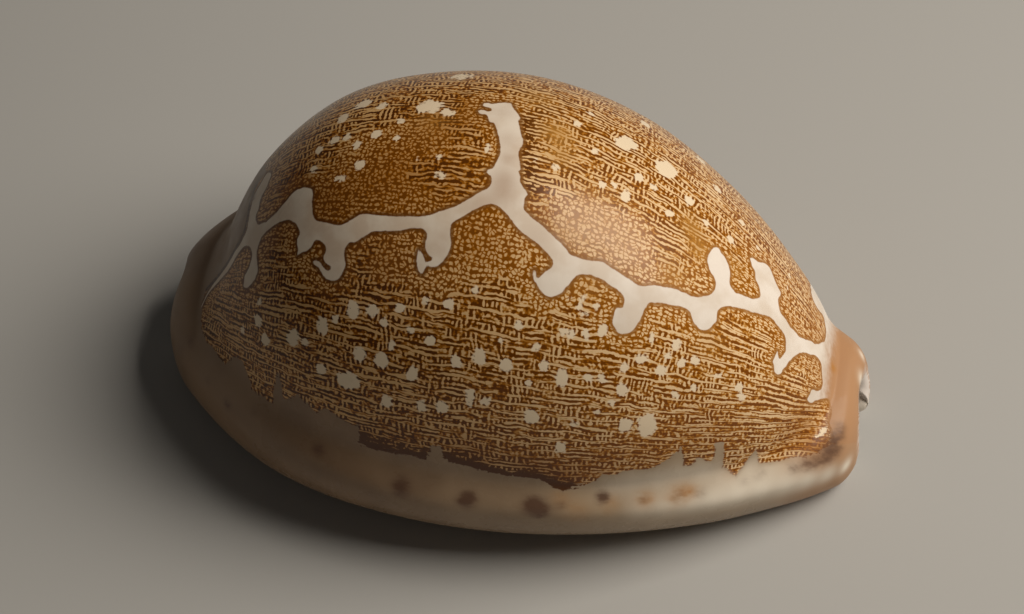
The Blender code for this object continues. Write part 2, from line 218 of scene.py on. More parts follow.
# Pale spots in the maze, as (across, down, half width, half height) in pixels of the photograph.
PALE_SPOTS = (
    (429.5, 106.4, 14, 6), (448, 112.5, 8, 3.5), (382.8, 105.6, 6, 6), (363.6, 104, 9, 5),
    (343, 118, 6, 8), (376.6, 134, 6, 5.5), (396.6, 137.8, 4, 3.5), (357.5, 144.7, 5, 5),
    (346.7, 137, 5, 5), (334.5, 140, 6, 5), (319, 150, 6, 4), (359, 164.7, 6.5, 5),
    (340.6, 177.7, 6.5, 3.5), (417, 158.5, 2.5, 2), (440, 157, 5, 2), (400, 121.7, 4, 3),
    (441, 174.6, 6, 3), (314.5, 169, 3, 5), (462, 76.5, 12, 2.5), (487.8, 147.8, 2, 6),
    (626.4, 143.4, 14, 7.5), (666.4, 169, 15, 9.5), (578.4, 124, 5, 4.5), (626.4, 196, 7, 5.5),
    (689.6, 201, 5.5, 6.5), (669.6, 213.8, 6.5, 4.5), (591, 113.8, 4.5, 3), (717.6, 189.8, 6.5, 5),
    (639, 177, 5, 6), (602, 185, 4.5, 3.5), (596, 151.4, 5, 3), (615, 185, 3, 4),
    (645.6, 124, 8, 4), (701, 160, 5, 9), (556, 167, 4, 3), (533.6, 161, 3, 2.5),
    (706, 223, 4, 4), (731, 240, 5, 5), (758, 248, 3, 3), (742, 222, 5, 4), (790, 276, 3, 3),
    (788, 288, 2.5, 3), (654, 187, 5, 4), (293, 337.6, 6, 9), (320.8, 369, 6, 6),
    (348.7, 380.7, 13, 9), (360, 354, 6, 8), (381.6, 360, 8, 9), (386.7, 401, 6, 8),
    (412, 374, 6, 8), (421, 406, 5, 8), (442, 407, 5, 8), (455, 361.7, 6, 7), (479, 356.6, 7, 9),
    (470.3, 398, 4.5, 11), (485.5, 401, 5, 5), (505.8, 365.5, 6.5, 7), (531, 417, 7.5, 9),
    (536, 347.7, 5, 5), (543.8, 365.5, 5, 6), (561.5, 378, 6, 10), (560, 447.8, 5, 7),
    (574, 423.7, 4, 4), (647, 425.5, 9, 13), (626, 425, 7, 8.5), (622, 390, 6, 7.5),
    (429.7, 340, 5, 6), (305.6, 342.7, 5, 5), (564, 332.5, 4, 4), (258, 320.8, 4.5, 7),
    (265, 340, 4, 6), (243, 331, 3, 5), (322.5, 325, 5.5, 9), (353, 310.5, 6, 9),
    (372, 310.5, 7, 7), (335.7, 318, 3.5, 5), (259.5, 301.7, 4, 3), (571, 333, 4, 5),
    (586, 334, 4, 5.5), (603, 330, 5, 7), (624, 367, 5, 5), (642, 359, 7, 5), (661, 370, 6, 5),
    (677, 344, 6, 6), (652, 338, 3, 6), (668, 356, 4, 4), (695, 361, 6, 5), (682, 363, 5, 5),
    (694, 388, 4, 5), (740, 387, 5, 4), (741, 397, 3, 5), (588, 378, 5, 4), (602, 378, 4, 5),
    (573, 423, 4, 4), (675, 395, 5, 3.5), (718, 375, 5, 2.5), (448, 303, 6, 6), (475, 290, 4, 5),
    (519, 325, 5, 4.5), (570, 296, 3.5, 3), (583, 297, 3, 3.5), (580, 306, 4, 4), (597, 307, 3.5, 5),
    (827, 424, 1.8, 3.5), (824.3, 429, 1.8, 3), (821, 433, 2, 2.5), (817, 437, 2.5, 1.8),
    (584, 315, 6, 2.5), (400, 308, 5, 5), (384, 322, 5, 5), (410, 330, 4, 4), (426, 300, 3, 4),
    (392, 345, 4, 5), (500, 340, 4, 3), (528, 383, 4, 4), (598, 412, 4, 4), (612, 404, 3, 4),
)

# The maze's lower edge on the outer lip's side, in pixels of the photograph, from back to front.
MAZE_EDGE = (
    (203, 331), (206, 342), (214, 349), (225, 366), (234, 355), (243, 363), (252, 388),
    (272, 404), (276, 372), (279, 372), (284, 399), (293, 399), (298, 393), (306, 403),
    (317, 413), (324, 407), (334, 413), (353, 425), (359, 423), (361, 444), (374, 449),
    (397, 454), (427, 460), (432, 446), (441, 446), (445, 459), (463, 464), (478, 468),
    (503, 475), (539, 479), (564, 491), (575, 486), (595, 481), (603, 473), (612, 476),
    (626, 470), (652, 469), (666, 461), (677, 452), (682, 445), (684, 465), (693, 465),
    (698, 455), (707, 461), (713, 461), (716, 443), (722, 442), (724, 467), (736, 475),
    (745, 463), (757, 447), (760, 463), (770, 463), (790, 459), (812, 455), (829, 445),
)

# Where the maze ends under the back rim and at the front rim, in pixels of the photograph.
MAZE_BACK = (
    (266, 172), (256, 186), (250, 203), (246, 220), (244, 229), (240, 239), (234.5, 248.5), (226.5, 263),
    (215.8, 277.5), (206, 289), (202, 305), (201, 330),
)
MAZE_FRONT = ((810, 290), (821, 316), (827, 337), (828, 362), (829, 396), (832, 415), (830, 445))

# Pixels beyond the shell, which close the maze's border over the top of the photograph.
OFF_THE_SHELL = ((900, 440), (900, 0), (200, 0), (264, 160))
SIGHT_SLACK = 0.4

# The maze's back border on the far side, as (angle in degrees, station).
FAR_BACK = ((20.0, 9.5), (45.0, 8.8), (65.0, 10.0), (85.0, 13.0))

# On the far side the maze runs on this much farther to the front, from one angle to the other.
FAR_COLLAR_SHIFT = 2.0
FAR_COLLAR_ANGLES = (45.0, 68.0)

# Soft brown marks on the margin, and painted shade for the groove above the margin's ridge near the front end, where
# there is also a purple-brown blotch: (across, down, radius, strength) in pixels of the photograph.
MARGIN_MARKS_AND_GROOVE_SHADE = (
    (208, 381, 7, 0.45), (227, 405, 9, 0.7), (253, 411, 6, 0.4), (319, 450, 8, 0.8),
    (401, 487, 12, 1.0), (467, 500, 11, 1.0), (532, 506, 12, 1.2), (542, 512, 9, 0.8),
    (561, 506, 8, 0.45), (602, 498, 8, 1.1), (643, 499, 8, 0.4), (678, 495, 9, 0.5), (190, 340, 12, 0.5),
    (430, 480, 14, 0.3), (300, 425, 20, 0.3), (700, 494, 10, 0.35), (256, 186, 9, 1.0), (252, 200, 8, 0.9),
    (246, 214, 6, 0.7), (839, 428, 10, 0.55), (836, 442, 12, 0.6), (829, 454, 12, 0.6), (816, 461, 11, 0.5),
    (803, 465, 11, 0.45), (791, 468, 9, 0.35), (760, 474, 9, 0.35), (744, 480, 9, 0.3),
)

# Ochre marks on the margin and the collar, and whiter places along the margin's ridge, which are partly its pale enamel
# and partly a painted highlight on the ridge.
OCHRE_MARKS = (
    (833, 367, 6, 1.5), (645, 499, 10, 0.7), (678, 495, 12, 0.9), (690, 492, 9, 0.6), (610, 505, 10, 0.5),
    (575, 512, 14, 0.4), (560, 496, 9, 0.5), (730, 470, 9, 0.4), (810, 450, 8, 0.4),
)
WHITE_AND_HIGHLIGHT_MARKS = (
    (640, 510, 16, 0.4), (665, 507, 16, 0.55), (690, 504, 16, 0.7), (714, 500, 16, 0.8), (738, 495, 16, 0.85),
    (762, 490, 16, 0.85), (786, 486, 16, 0.85), (808, 481, 14, 0.85), (828, 475, 12, 0.8), (846, 466, 9, 1.0),
    (861, 380, 8, 1.0), (862, 355, 6, 0.8), (860, 400, 6, 0.8),
    (612, 486, 15, 0.3), (634, 482, 15, 0.4), (657, 479, 15, 0.45), (680, 475, 15, 0.5), (703, 472, 15, 0.5),
    (726, 474, 15, 0.45), (749, 470, 15, 0.45), (772, 467, 14, 0.35), (794, 465, 12, 0.2),
)

# Duller stretches of the cream line.
SHADED_LINE = (
    (505, 112, 14, 0.5), (508, 140, 13, 0.7), (508, 158, 9, 0.9), (505, 178, 14, 0.9), (502, 193, 17, 0.9),
    (478, 205, 14, 0.6), (540, 235, 14, 0.4), (440, 240, 14, 0.3), (330, 232, 20, 0.3), (300, 215, 20, 0.3),
    (262, 200, 16, 0.5),
)

# The crease between the back roll and the dome, along which painted shade is drawn as a dark line, and stretches where
# the brown is nearly solid.
BACK_CREASE = (
    (256, 186), (250, 203), (247, 220), (245, 229), (241, 239), (235.5, 248.5), (227.5, 263),
    (216.8, 277.5), (207, 289),
)
SOLID_BORDER = (
    (375, 447, 16, 1.0), (395, 451, 14, 1.0), (418, 457, 14, 1.0), (450, 460, 12, 0.8), (474, 465, 14, 1.0),
    (500, 472, 14, 1.0), (525, 476, 14, 1.0), (548, 483, 14, 1.0), (567, 488, 10, 1.0),
    (528, 122, 9, 0.7), (529, 138, 9, 0.7), (529, 154, 9, 0.7), (529, 170, 9, 0.7), (532, 186, 10, 0.6),
    (680, 460, 8, 0.5), (365, 440, 9, 0.8),
)

# Patches of the maze: (across, down, radius, strength) in pixels of the photograph.
BROWN_PATCHES = (
    (395, 175, 50, 0.9), (330, 200, 38, 0.8), (450, 120, 40, 0.8), (480, 240, 35, 0.5), (455, 190, 30, 0.5),
    (380, 260, 30, 0.5), (277, 240, 18, 0.5), (290, 185, 30, 0.7), (545, 215, 12, 0.5),
    (400, 447, 26, 0.9), (470, 458, 28, 0.9), (530, 468, 28, 0.9), (565, 478, 18, 1.0),
    (368, 436, 12, 0.8), (320, 300, 25, 0.3), (820, 446, 14, 1.0), (800, 432, 30, 0.7), (705, 435, 36, 0.4),
    (650, 455, 28, 0.5), (600, 462, 26, 0.6), (233, 275, 15, 0.4), (785, 330, 14, 0.4), (812, 320, 14, 0.4),
)
TAN_PATCHES = (
    (558, 133, 17, 0.9), (561, 155, 14, 0.7), (540, 98, 18, 0.5), (692, 226, 16, 0.8),
    (700, 250, 16, 0.7), (672, 275, 20, 0.5), (735, 268, 14, 0.45), (435, 120, 20, 0.3),
    (590, 215, 34, 0.45), (625, 245, 34, 0.45), (565, 235, 18, 0.45), (590, 280, 20, 0.3), (712, 345, 18, 0.3),
)

# Places where the lines run on along the shell, with neither net nor bars.
ROW_PATCHES = (
    (529, 122, 13, 1.3), (529, 136, 13, 1.3), (529, 150, 13, 1.3), (530, 165, 13, 1.3), (531, 180, 13, 1.3),
    (536, 193, 12, 1.0), (466, 165, 26, 1.0),
    (462, 190, 20, 0.8), (728, 336, 24, 1.0), (705, 345, 14, 0.7), (780, 400, 36, 0.8), (810, 415, 26, 1.0),
    (740, 420, 36, 0.7), (232, 320, 30, 0.9), (262, 306, 22, 0.7),
    (676, 240, 30, 0.7), (560, 110, 30, 0.6), (300, 362, 22, 0.5), (800, 300, 20, 0.8), (640, 450, 20, 0.6),
)

# Places where the net of small pale cells reaches beyond the cream line's neighbourhood.
NET_PATCHES = (
    (560, 215, 26, 0.9), (600, 240, 30, 0.9), (640, 262, 26, 0.9), (590, 200, 22, 0.7), (640, 225, 24, 0.6),
    (395, 135, 30, 1.0), (350, 150, 26, 0.8), (430, 140, 26, 1.0), (380, 180, 30, 1.0), (420, 195, 24, 1.0),
    (340, 190, 26, 0.9), (500, 245, 30, 1.0), (470, 265, 24, 1.0), (530, 270, 20, 1.0), (440, 290, 14, 0.8),
    (400, 262, 22, 1.0), (380, 270, 20, 0.8), (325, 190, 18, 0.7),
    (275, 240, 16, 0.8), (300, 205, 12, 0.7), (815, 330, 14, 0.8), (745, 275, 14, 0.8), (690, 275, 18, 0.6),
)


def curve_through(values, place):
    """Smooth curve through evenly spaced values, read at place, from 0 to 1."""
    values = np.asarray(values, float)
    spans = len(values) - 1
    scaled = np.clip(place, 0.0, 1.0) * spans
    index = np.minimum(scaled.astype(int), spans - 1)
    t = scaled - index
    padded = np.concatenate([[2 * values[0] - values[1]], values, [2 * values[-1] - values[-2]]])
    before, start, end, after = (padded[index + k] for k in range(4))
    straight = (end - before) * t
    bend = (2 * before - 5 * start + 4 * end - after) * t ** 2
    twist = (3 * start - before - 3 * end + after) * t ** 3
    return start + 0.5 * (straight + bend + twist)


def station_of(along):
    """Distance from the back end, for along from 0 to 1; it crowds together at the ends."""
    return LENGTH / 2 * (1 - np.cos(np.pi * along))


def place_within(station, first, last):
    """The same crowding of stations, between first and last, read back from the distance."""
    share = np.clip((station - first) / (last - first), 0.0, 1.0)
    return np.arccos(1 - 2 * share) / np.pi


def smooth_max(a, b, blend):
    near = np.clip(1 - np.abs(a - b) / blend, 0.0, 1.0)
    return np.maximum(a, b) + near ** 2 * blend / 4


def smooth_min(a, b, blend):
    return -smooth_max(-a, -b, blend)


def smooth_step(value, low, high):
    t = np.clip((value - low) / (high - low), 0.0, 1.0)
    return t * t * (3 - 2 * t)


def oval_radius(angle, half_width, half_height, power):
    side = np.abs(np.sin(angle)) / half_width
    rise = np.abs(np.cos(angle)) / half_height
    return (side ** power + rise ** power) ** (-1 / power)


def floor_radius(angle, depth):
    """Distance from the centre to a level floor that lies depth below it."""
    downward = np.maximum(-np.cos(angle), TINY)
    return depth / downward


def outer_radius(along, angle):
    """Distance of the outer skin from the section's centre; angle 0 is up, positive towards +Y."""
    station = station_of(along)
    within = place_within(station, DOME_FIRST, DOME_LAST)
    level = curve_through(WIDEST_LEVEL, along)
    centre = curve_through(SLIT_CENTRE, along)
    inner_side = angle > 0
    rim_reach = np.where(
        inner_side,
        curve_through(RIM_REACH_INNER, along) - centre,
        curve_through(RIM_REACH_OUTER, along) + centre,
    )
    offset = centre * np.sqrt(np.sin(np.pi * within))
    dome_reach = np.where(
        inner_side,
        curve_through(DOME_REACH_INNER, within) - offset,
        curve_through(DOME_REACH_OUTER, within) + offset,
    )
    dome_reach = np.maximum(dome_reach, TINY)
    dome_rise = np.maximum(curve_through(DOME_TOP, within) - level, TINY)
    rim_rise = curve_through(RIM_TOP, along) - level
    upper = np.cos(angle) >= 0
    dome = oval_radius(angle, dome_reach, np.where(upper, dome_rise, level), DOME_POWER)
    rim = oval_radius(angle, rim_reach, np.where(upper, rim_rise, level * BASE_FULLNESS), RIM_POWER)
    lean = (1 + np.sin(np.clip(angle, -np.pi / 2, np.pi / 2))) / 2
    blend = curve_through(BLEND_OUTER, along) * (1 - lean) + curve_through(BLEND_INNER, along) * lean
    skin = smooth_max(dome, rim, blend)
    return smooth_min(skin, floor_radius(angle, level), BASE_CORNER)


def hollow_radius(along, angle):
    """Distance of the inner skin from the section's centre."""
    station = station_of(along)
    within_hollow = place_within(station, HOLLOW_FIRST, HOLLOW_LAST)
    swell = np.sin(np.pi * within_hollow)
    level = curve_through(WIDEST_LEVEL, along)
    centre = curve_through(SLIT_CENTRE, along)
    within_dome = place_within(station, DOME_FIRST, DOME_LAST)
    dome_reach = np.where(
        angle > 0,
        curve_through(DOME_REACH_INNER, within_dome) - centre,
        curve_through(DOME_REACH_OUTER, within_dome) + centre,
    )
    dome_rise = curve_through(DOME_TOP, within_dome) - level
    taper = np.sqrt(np.clip(swell, 0.0, 1.0))
    reach = np.maximum((dome_reach - WALL_SIDE) * taper, TINY)
    rise = np.maximum((dome_rise - WALL_TOP) * taper, TINY)
    depth = level - curve_through(LIP_HEIGHT, along)
    upper = np.cos(angle) >= 0
    hollow = oval_radius(angle, reach, np.where(upper, rise, depth * BASE_FULLNESS), HOLLOW_POWER)
    channel = np.full_like(hollow, CHANNEL_RADIUS)
    skin = smooth_max(hollow, channel, HOLLOW_BLEND)
    return smooth_min(skin, floor_radius(angle, depth), BASE_CORNER)


def groove_depth(station, side):
    """How deep a lip is cut at each station; the two lips' teeth stand half a pitch apart."""
    count = (station - TOOTH_FIRST) / (TOOTH_LAST - TOOTH_FIRST) * TEETH
    wave = (1 - np.cos(2 * np.pi * (count + 0.25 * side))) / 2
    ends = smooth_step(count, 0.0, 2.0) * smooth_step(TEETH - count, 0.0, 2.0)
    return GROOVE_DEPTH * ends * wave ** 1.6


def section_points(along, from_lip, side):
    """Outer and inner skin, for from_lip from 0 at a lip's edge to 1 at the top of the dome."""
    level = curve_through(WIDEST_LEVEL, along)
    centre = curve_through(SLIT_CENTRE, along)
    half_slit = curve_through(SLIT_WIDTH, along) / 2
    lip = curve_through(LIP_HEIGHT, along)
    nose = curve_through(LIP_NOSE, along)
    slit_angle = np.pi - np.arctan2(half_slit + nose, level)
    corner_angle = np.radians(BASE_END_ANGLE)

    base_part = np.clip((from_lip - NOSE_SHARE) / (BASE_SHARE - NOSE_SHARE), 0, 1)
    arc_part = np.clip((from_lip - BASE_SHARE) / (1 - BASE_SHARE), 0, 1)
    angle = slit_angle + (corner_angle - slit_angle) * base_part
    angle = angle * (1 - arc_part)
    radius = outer_radius(along, side * angle)
    y_outer = centre + side * radius * np.sin(angle)
    z_outer = level + radius * np.cos(angle)

    groove = groove_depth(station_of(along), side)
    on_base = smooth_step(NOSE_SHARE + GROOVE_RUN_OUT - from_lip, 0.0, GROOVE_RUN_OUT)
    z_outer = z_outer + groove * on_base * 0.6
    on_nose = from_lip < NOSE_SHARE - TINY
    swing = np.pi * np.clip(from_lip / NOSE_SHARE, 0, 1)
    shrink = 1 - groove * np.sin(swing / 2) / nose
    y_nose = centre + side * (half_slit + nose - nose * np.sin(swing) * shrink)
    z_nose = lip / 2 * (1 + np.cos(swing)) + groove * 0.6 * smooth_step(swing, 1.6, np.pi)
    y_outer = np.where(on_nose, y_nose, y_outer)
    z_outer = np.where(on_nose, z_nose, z_outer)

    inner_angle = np.pi - np.arctan2(half_slit + nose, level - lip)
    angle = inner_angle * (1 - from_lip)
    nose_top_radius = np.hypot(half_slit + nose, level - lip)
    away = smooth_step(from_lip, 0.0, LIP_RUN_OUT)
    radius = nose_top_radius + away * (hollow_radius(along, side * angle) - nose_top_radius)
    y_inner = centre + side * radius * np.sin(angle)
    z_inner = level + radius * np.cos(angle)
    return (y_outer, z_outer), (y_inner, z_inner)


def end_weight(station):
    """0 at either end and 1 away from it, so that the wall's edge there is round."""
    back = np.clip(station / BACK_ROUNDING, 0.0, 1.0)
    front = np.clip((LENGTH - station) / FRONT_ROUNDING, 0.0, 1.0)
    share = np.minimum(back, front)
    return np.sqrt(1 - (1 - share) ** 2)


def end_shift(station, side, from_lip):
    """How far the wall moves along X, so that the ends have their lobes and their set-back roof."""
    around = np.where(side < 0, from_lip / 2, 1 - from_lip / 2)
    front = np.clip(1 - (LENGTH - station) / END_EDGE_REACH, 0.0, 1.0) ** 2
    back = np.clip(1 - station / END_EDGE_REACH, 0.0, 1.0) ** 2
    return front * curve_through(FRONT_EDGE, around) - back * curve_through(BACK_EDGE, around)


def wall_point(along, turn, on_outer):
    """Place of the wall's skin; turn runs from 0, the outer lip's edge, to 1, the inner lip's."""
    side = np.where(turn < 0.5, -1.0, 1.0)
    from_lip = np.where(turn < 0.5, turn, 1 - turn) * 2
    (y_outer, z_outer), (y_inner, z_inner) = section_points(along, from_lip, side)
    y_skin = np.where(on_outer, y_outer, y_inner)
    z_skin = np.where(on_outer, z_outer, z_inner)
    past_nose = np.maximum(from_lip, NOSE_SHARE)
    (y_outer, z_outer), (y_inner, z_inner) = section_points(along, past_nose, side)
    y_middle = (y_outer + y_inner) / 2
    z_middle = (z_outer + z_inner) / 2
    station = station_of(along)
    weight = end_weight(station)
    y = y_middle + weight * (y_skin - y_middle)
    z = z_middle + weight * (z_skin - z_middle)
    x = station - LENGTH / 2 + end_shift(station, side, from_lip)
    return x, y, np.maximum(z, 0.0)


def camera_axes():
    turn = math.radians(CAMERA_TURN)
    rise = math.radians(CAMERA_RISE)
    back = Vector((math.sin(turn) * math.cos(rise), -math.cos(turn) * math.cos(rise), math.sin(rise)))
    right = Vector((math.cos(turn), math.sin(turn), 0))
    return right, back.cross(right), back


def camera_place():
    return Vector(CAMERA_TARGET) + camera_axes()[2] * CAMERA_DISTANCE


def in_photo(points):
    """Pixels at which points, in millimetres, are seen in the photograph."""
    right, up, back = (np.array(axis) for axis in camera_axes())
    away = points - np.array(camera_place())
    depth = -(away @ back)
    zoom = CAMERA_LENS / CAMERA_SENSOR * PHOTO_WIDTH
    across = PHOTO_WIDTH / 2 + zoom * (away @ right) / depth
    down = PHOTO_HEIGHT / 2 - zoom * (away @ up) / depth
    return np.stack([across, down], axis=1)


def on_shell(tree, across, down, only_hits=False):
    """The point of the shell that a pixel of the photograph shows, or the nearest one to it."""
    right, up, back = camera_axes()
    zoom = CAMERA_LENS / CAMERA_SENSOR * PHOTO_WIDTH
    ray = right * (across - PHOTO_WIDTH / 2) - up * (down - PHOTO_HEIGHT / 2) - back * zoom
    ray.normalize()
    hit = tree.ray_cast(camera_place() * MM, ray)[0]
    if hit is None:
        if only_hits:
            return None
        beside = camera_place() + ray * CAMERA_DISTANCE
        hit = tree.find_nearest(beside * MM)[0]
    return np.array(hit) / MM


def make_wall():
    """The closed wall as one grid, rolled up, with its place on the shell kept on each vertex."""
    half = NOSE_COLUMNS + BASE_COLUMNS + ARC_COLUMNS
    wall = bmesh.new()
    layers = {name: wall.verts.layers.float.new(name) for name in ("along", "turn", "inside")}
    wall.loops.layers.uv.new("OFBake")
    bmesh.ops.create_grid(
        wall, x_segments=4 * half, y_segments=STATIONS, size=1.0, calc_uvs=True
    )
    flat = np.array([vert.co[:] for vert in wall.verts])
    column = np.rint((flat[:, 0] + 1) * 2 * half)
    row = np.rint((flat[:, 1] + 1) / 2 * STATIONS)
    on_outer = column < 2 * half
    across = np.where(on_outer, column, 4 * half - column)
    steps = np.minimum(across, 2 * half - across)
    columns = (0, NOSE_COLUMNS, NOSE_COLUMNS + BASE_COLUMNS, half)
    from_lip = np.interp(steps, columns, (0.0, NOSE_SHARE, BASE_SHARE, 1.0))
    turn = np.where(across < half, from_lip / 2, 1 - from_lip / 2)
    even = row / STATIONS
    station = LENGTH * ((1 - END_CROWDING) * even + END_CROWDING * (1 - np.cos(np.pi * even)) / 2)
    along = place_within(station, 0.0, LENGTH)
    places = np.stack(wall_point(along, turn, on_outer), axis=1) * MM
    for k, vert in enumerate(wall.verts):
        vert.co = places[k]
        vert[layers["along"]] = along[k]
        vert[layers["turn"]] = turn[k]
        vert[layers["inside"]] = 0.0 if on_outer[k] or steps[k] == 0 else 1.0
        vert.index = k
    thin_inside(wall, column, row, half)
    bmesh.ops.remove_doubles(wall, verts=wall.verts, dist=TINY)
    refine_by_line(wall, layers)
    bmesh.ops.recalc_face_normals(wall, faces=wall.faces)
    return wall


def refine_by_line(wall, layers):
    """Halves the faces along the cream line's edge and the crease, so that both run smoothly."""
    tree = BVHTree.FromBMesh(wall)
    points = np.array([vert.co[:] for vert in wall.verts]) / MM
    close = distance_from(points, tree, closed_curve(LINE_OUTLINE)) < REFINED_REACH
    close |= distance_from(points, tree, even_steps(BACK_CREASE)) < REFINED_REACH
    on_outer = np.array([vert[layers["inside"]] < 0.5 for vert in wall.verts])
    chosen = close & on_outer
    wall.verts.index_update()
    edges = [edge for edge in wall.edges if all(chosen[vert.index] for vert in edge.verts)]
    made = bmesh.ops.subdivide_edges(wall, edges=edges, cuts=1, use_grid_fill=True)
    fresh = [part for part in made["geom_inner"] if isinstance(part, bmesh.types.BMVert)]
    along = np.array([vert[layers["along"]] for vert in fresh])
    turn = np.array([vert[layers["turn"]] for vert in fresh])
    places = np.stack(wall_point(along, turn, np.ones(len(fresh), bool)), axis=1) * MM
    for vert, place in zip(fresh, places):
        vert.co = place


def thin_inside(wall, column, row, half):
    """Merges the hollow's faces in blocks, away from the lips and the ends."""
    first = 2 * half + NOSE_COLUMNS + BASE_COLUMNS
    last = 4 * half - NOSE_COLUMNS - BASE_COLUMNS
    margin = 2 * THINNED_EVERY
    inner = (column > first) & (column < last) & (row > margin) & (row < STATIONS - margin)
    spare_column = (column - first) % THINNED_EVERY != 0
    spare_row = (row - margin) % THINNED_EVERY != 0
    spare = []
    for edge in wall.edges:
        a, b = (vert.index for vert in edge.verts)
        if inner[a] and inner[b]:
            same_column = column[a] == column[b]
            if spare_column[a] if same_column else spare_row[a]:
                spare.append(edge)
    bmesh.ops.dissolve_edges(wall, edges=spare, use_verts=True, use_face_split=False)


def closed_curve(points):
    """Smooth closed curve through points, cut into short steps."""
    points = np.asarray(points, float)
    before, start, end, after = (np.roll(points, shift, axis=0)[:, None] for shift in (1, 0, -1, -2))
    t = (np.arange(OUTLINE_STEPS) / OUTLINE_STEPS)[None, :, None]
    straight = (end - before) * t
    bend = (2 * before - 5 * start + 4 * end - after) * t ** 2
    twist = (3 * start - before - 3 * end + after) * t ** 3
    return (start + 0.5 * (straight + bend + twist)).reshape(-1, 2)


def even_steps(points):
    """The straight stretches of an open line, cut into short steps."""
    points = np.asarray(points, float)
    places = np.arange((len(points) - 1) * OUTLINE_STEPS + 1) / OUTLINE_STEPS
    return np.stack([np.interp(places, np.arange(len(points)), points[:, k]) for k in (0, 1)], axis=1)


def inside_outline(seen, outline):
    """Whether each pixel place lies inside the closed outline."""
    inside = np.zeros(len(seen), bool)
    across, down = seen[:, 0], seen[:, 1]
    for (x_start, y_start), (x_end, y_end) in zip(outline, np.roll(outline, -1, axis=0)):
        crossed = np.flatnonzero((down < y_start) != (down < y_end))
        if len(crossed):
            lean = (x_end - x_start) / (y_end - y_start)
            inside[crossed] ^= across[crossed] < x_start + (down[crossed] - y_start) * lean
    return inside


def distance_from(points, tree, pixels):
    """Distance in millimetres to a line drawn on the shell, given by the pixels that show it."""
    placed = [on_shell(tree, across, down, only_hits=True) for across, down in pixels]
    placed = [place for place in placed if place is not None]
    nearby = KDTree(len(placed))
    for k, place in enumerate(placed):
        nearby.insert(place, k)
    nearby.balance()
    return np.array([nearby.find(point)[2] for point in points])


def facing_photo(points, tree):
    """Whether the photograph's camera sees each point of the shell."""
    eye = camera_place() * MM
    seen = np.empty(len(points), bool)
    for k, point in enumerate(points * MM):
        ray = Vector(point) - eye
        reached = tree.ray_cast(eye, ray.normalized())[3]
        seen[k] = reached is None or reached > ray.length - SIGHT_SLACK * MM
    return seen


def pixels_per_mm(point):
    depth = CAMERA_DISTANCE + float((np.array(CAMERA_TARGET) - point) @ np.array(camera_axes()[2]))
    return CAMERA_LENS / CAMERA_SENSOR * PHOTO_WIDTH / depth


def patches(points, tree, marks_and_groove_shade):
    """Sum of soft round patches, each given by a pixel of the photograph, a radius and a strength."""
    total = np.zeros(len(points))
    for across, down, radius, strength in marks_and_groove_shade:
        centre = on_shell(tree, across, down)
        gap = np.linalg.norm(points - centre, axis=1) * pixels_per_mm(centre) / radius
        total += strength * np.exp(-gap ** 2)
    return np.clip(total, 0, 1.5)


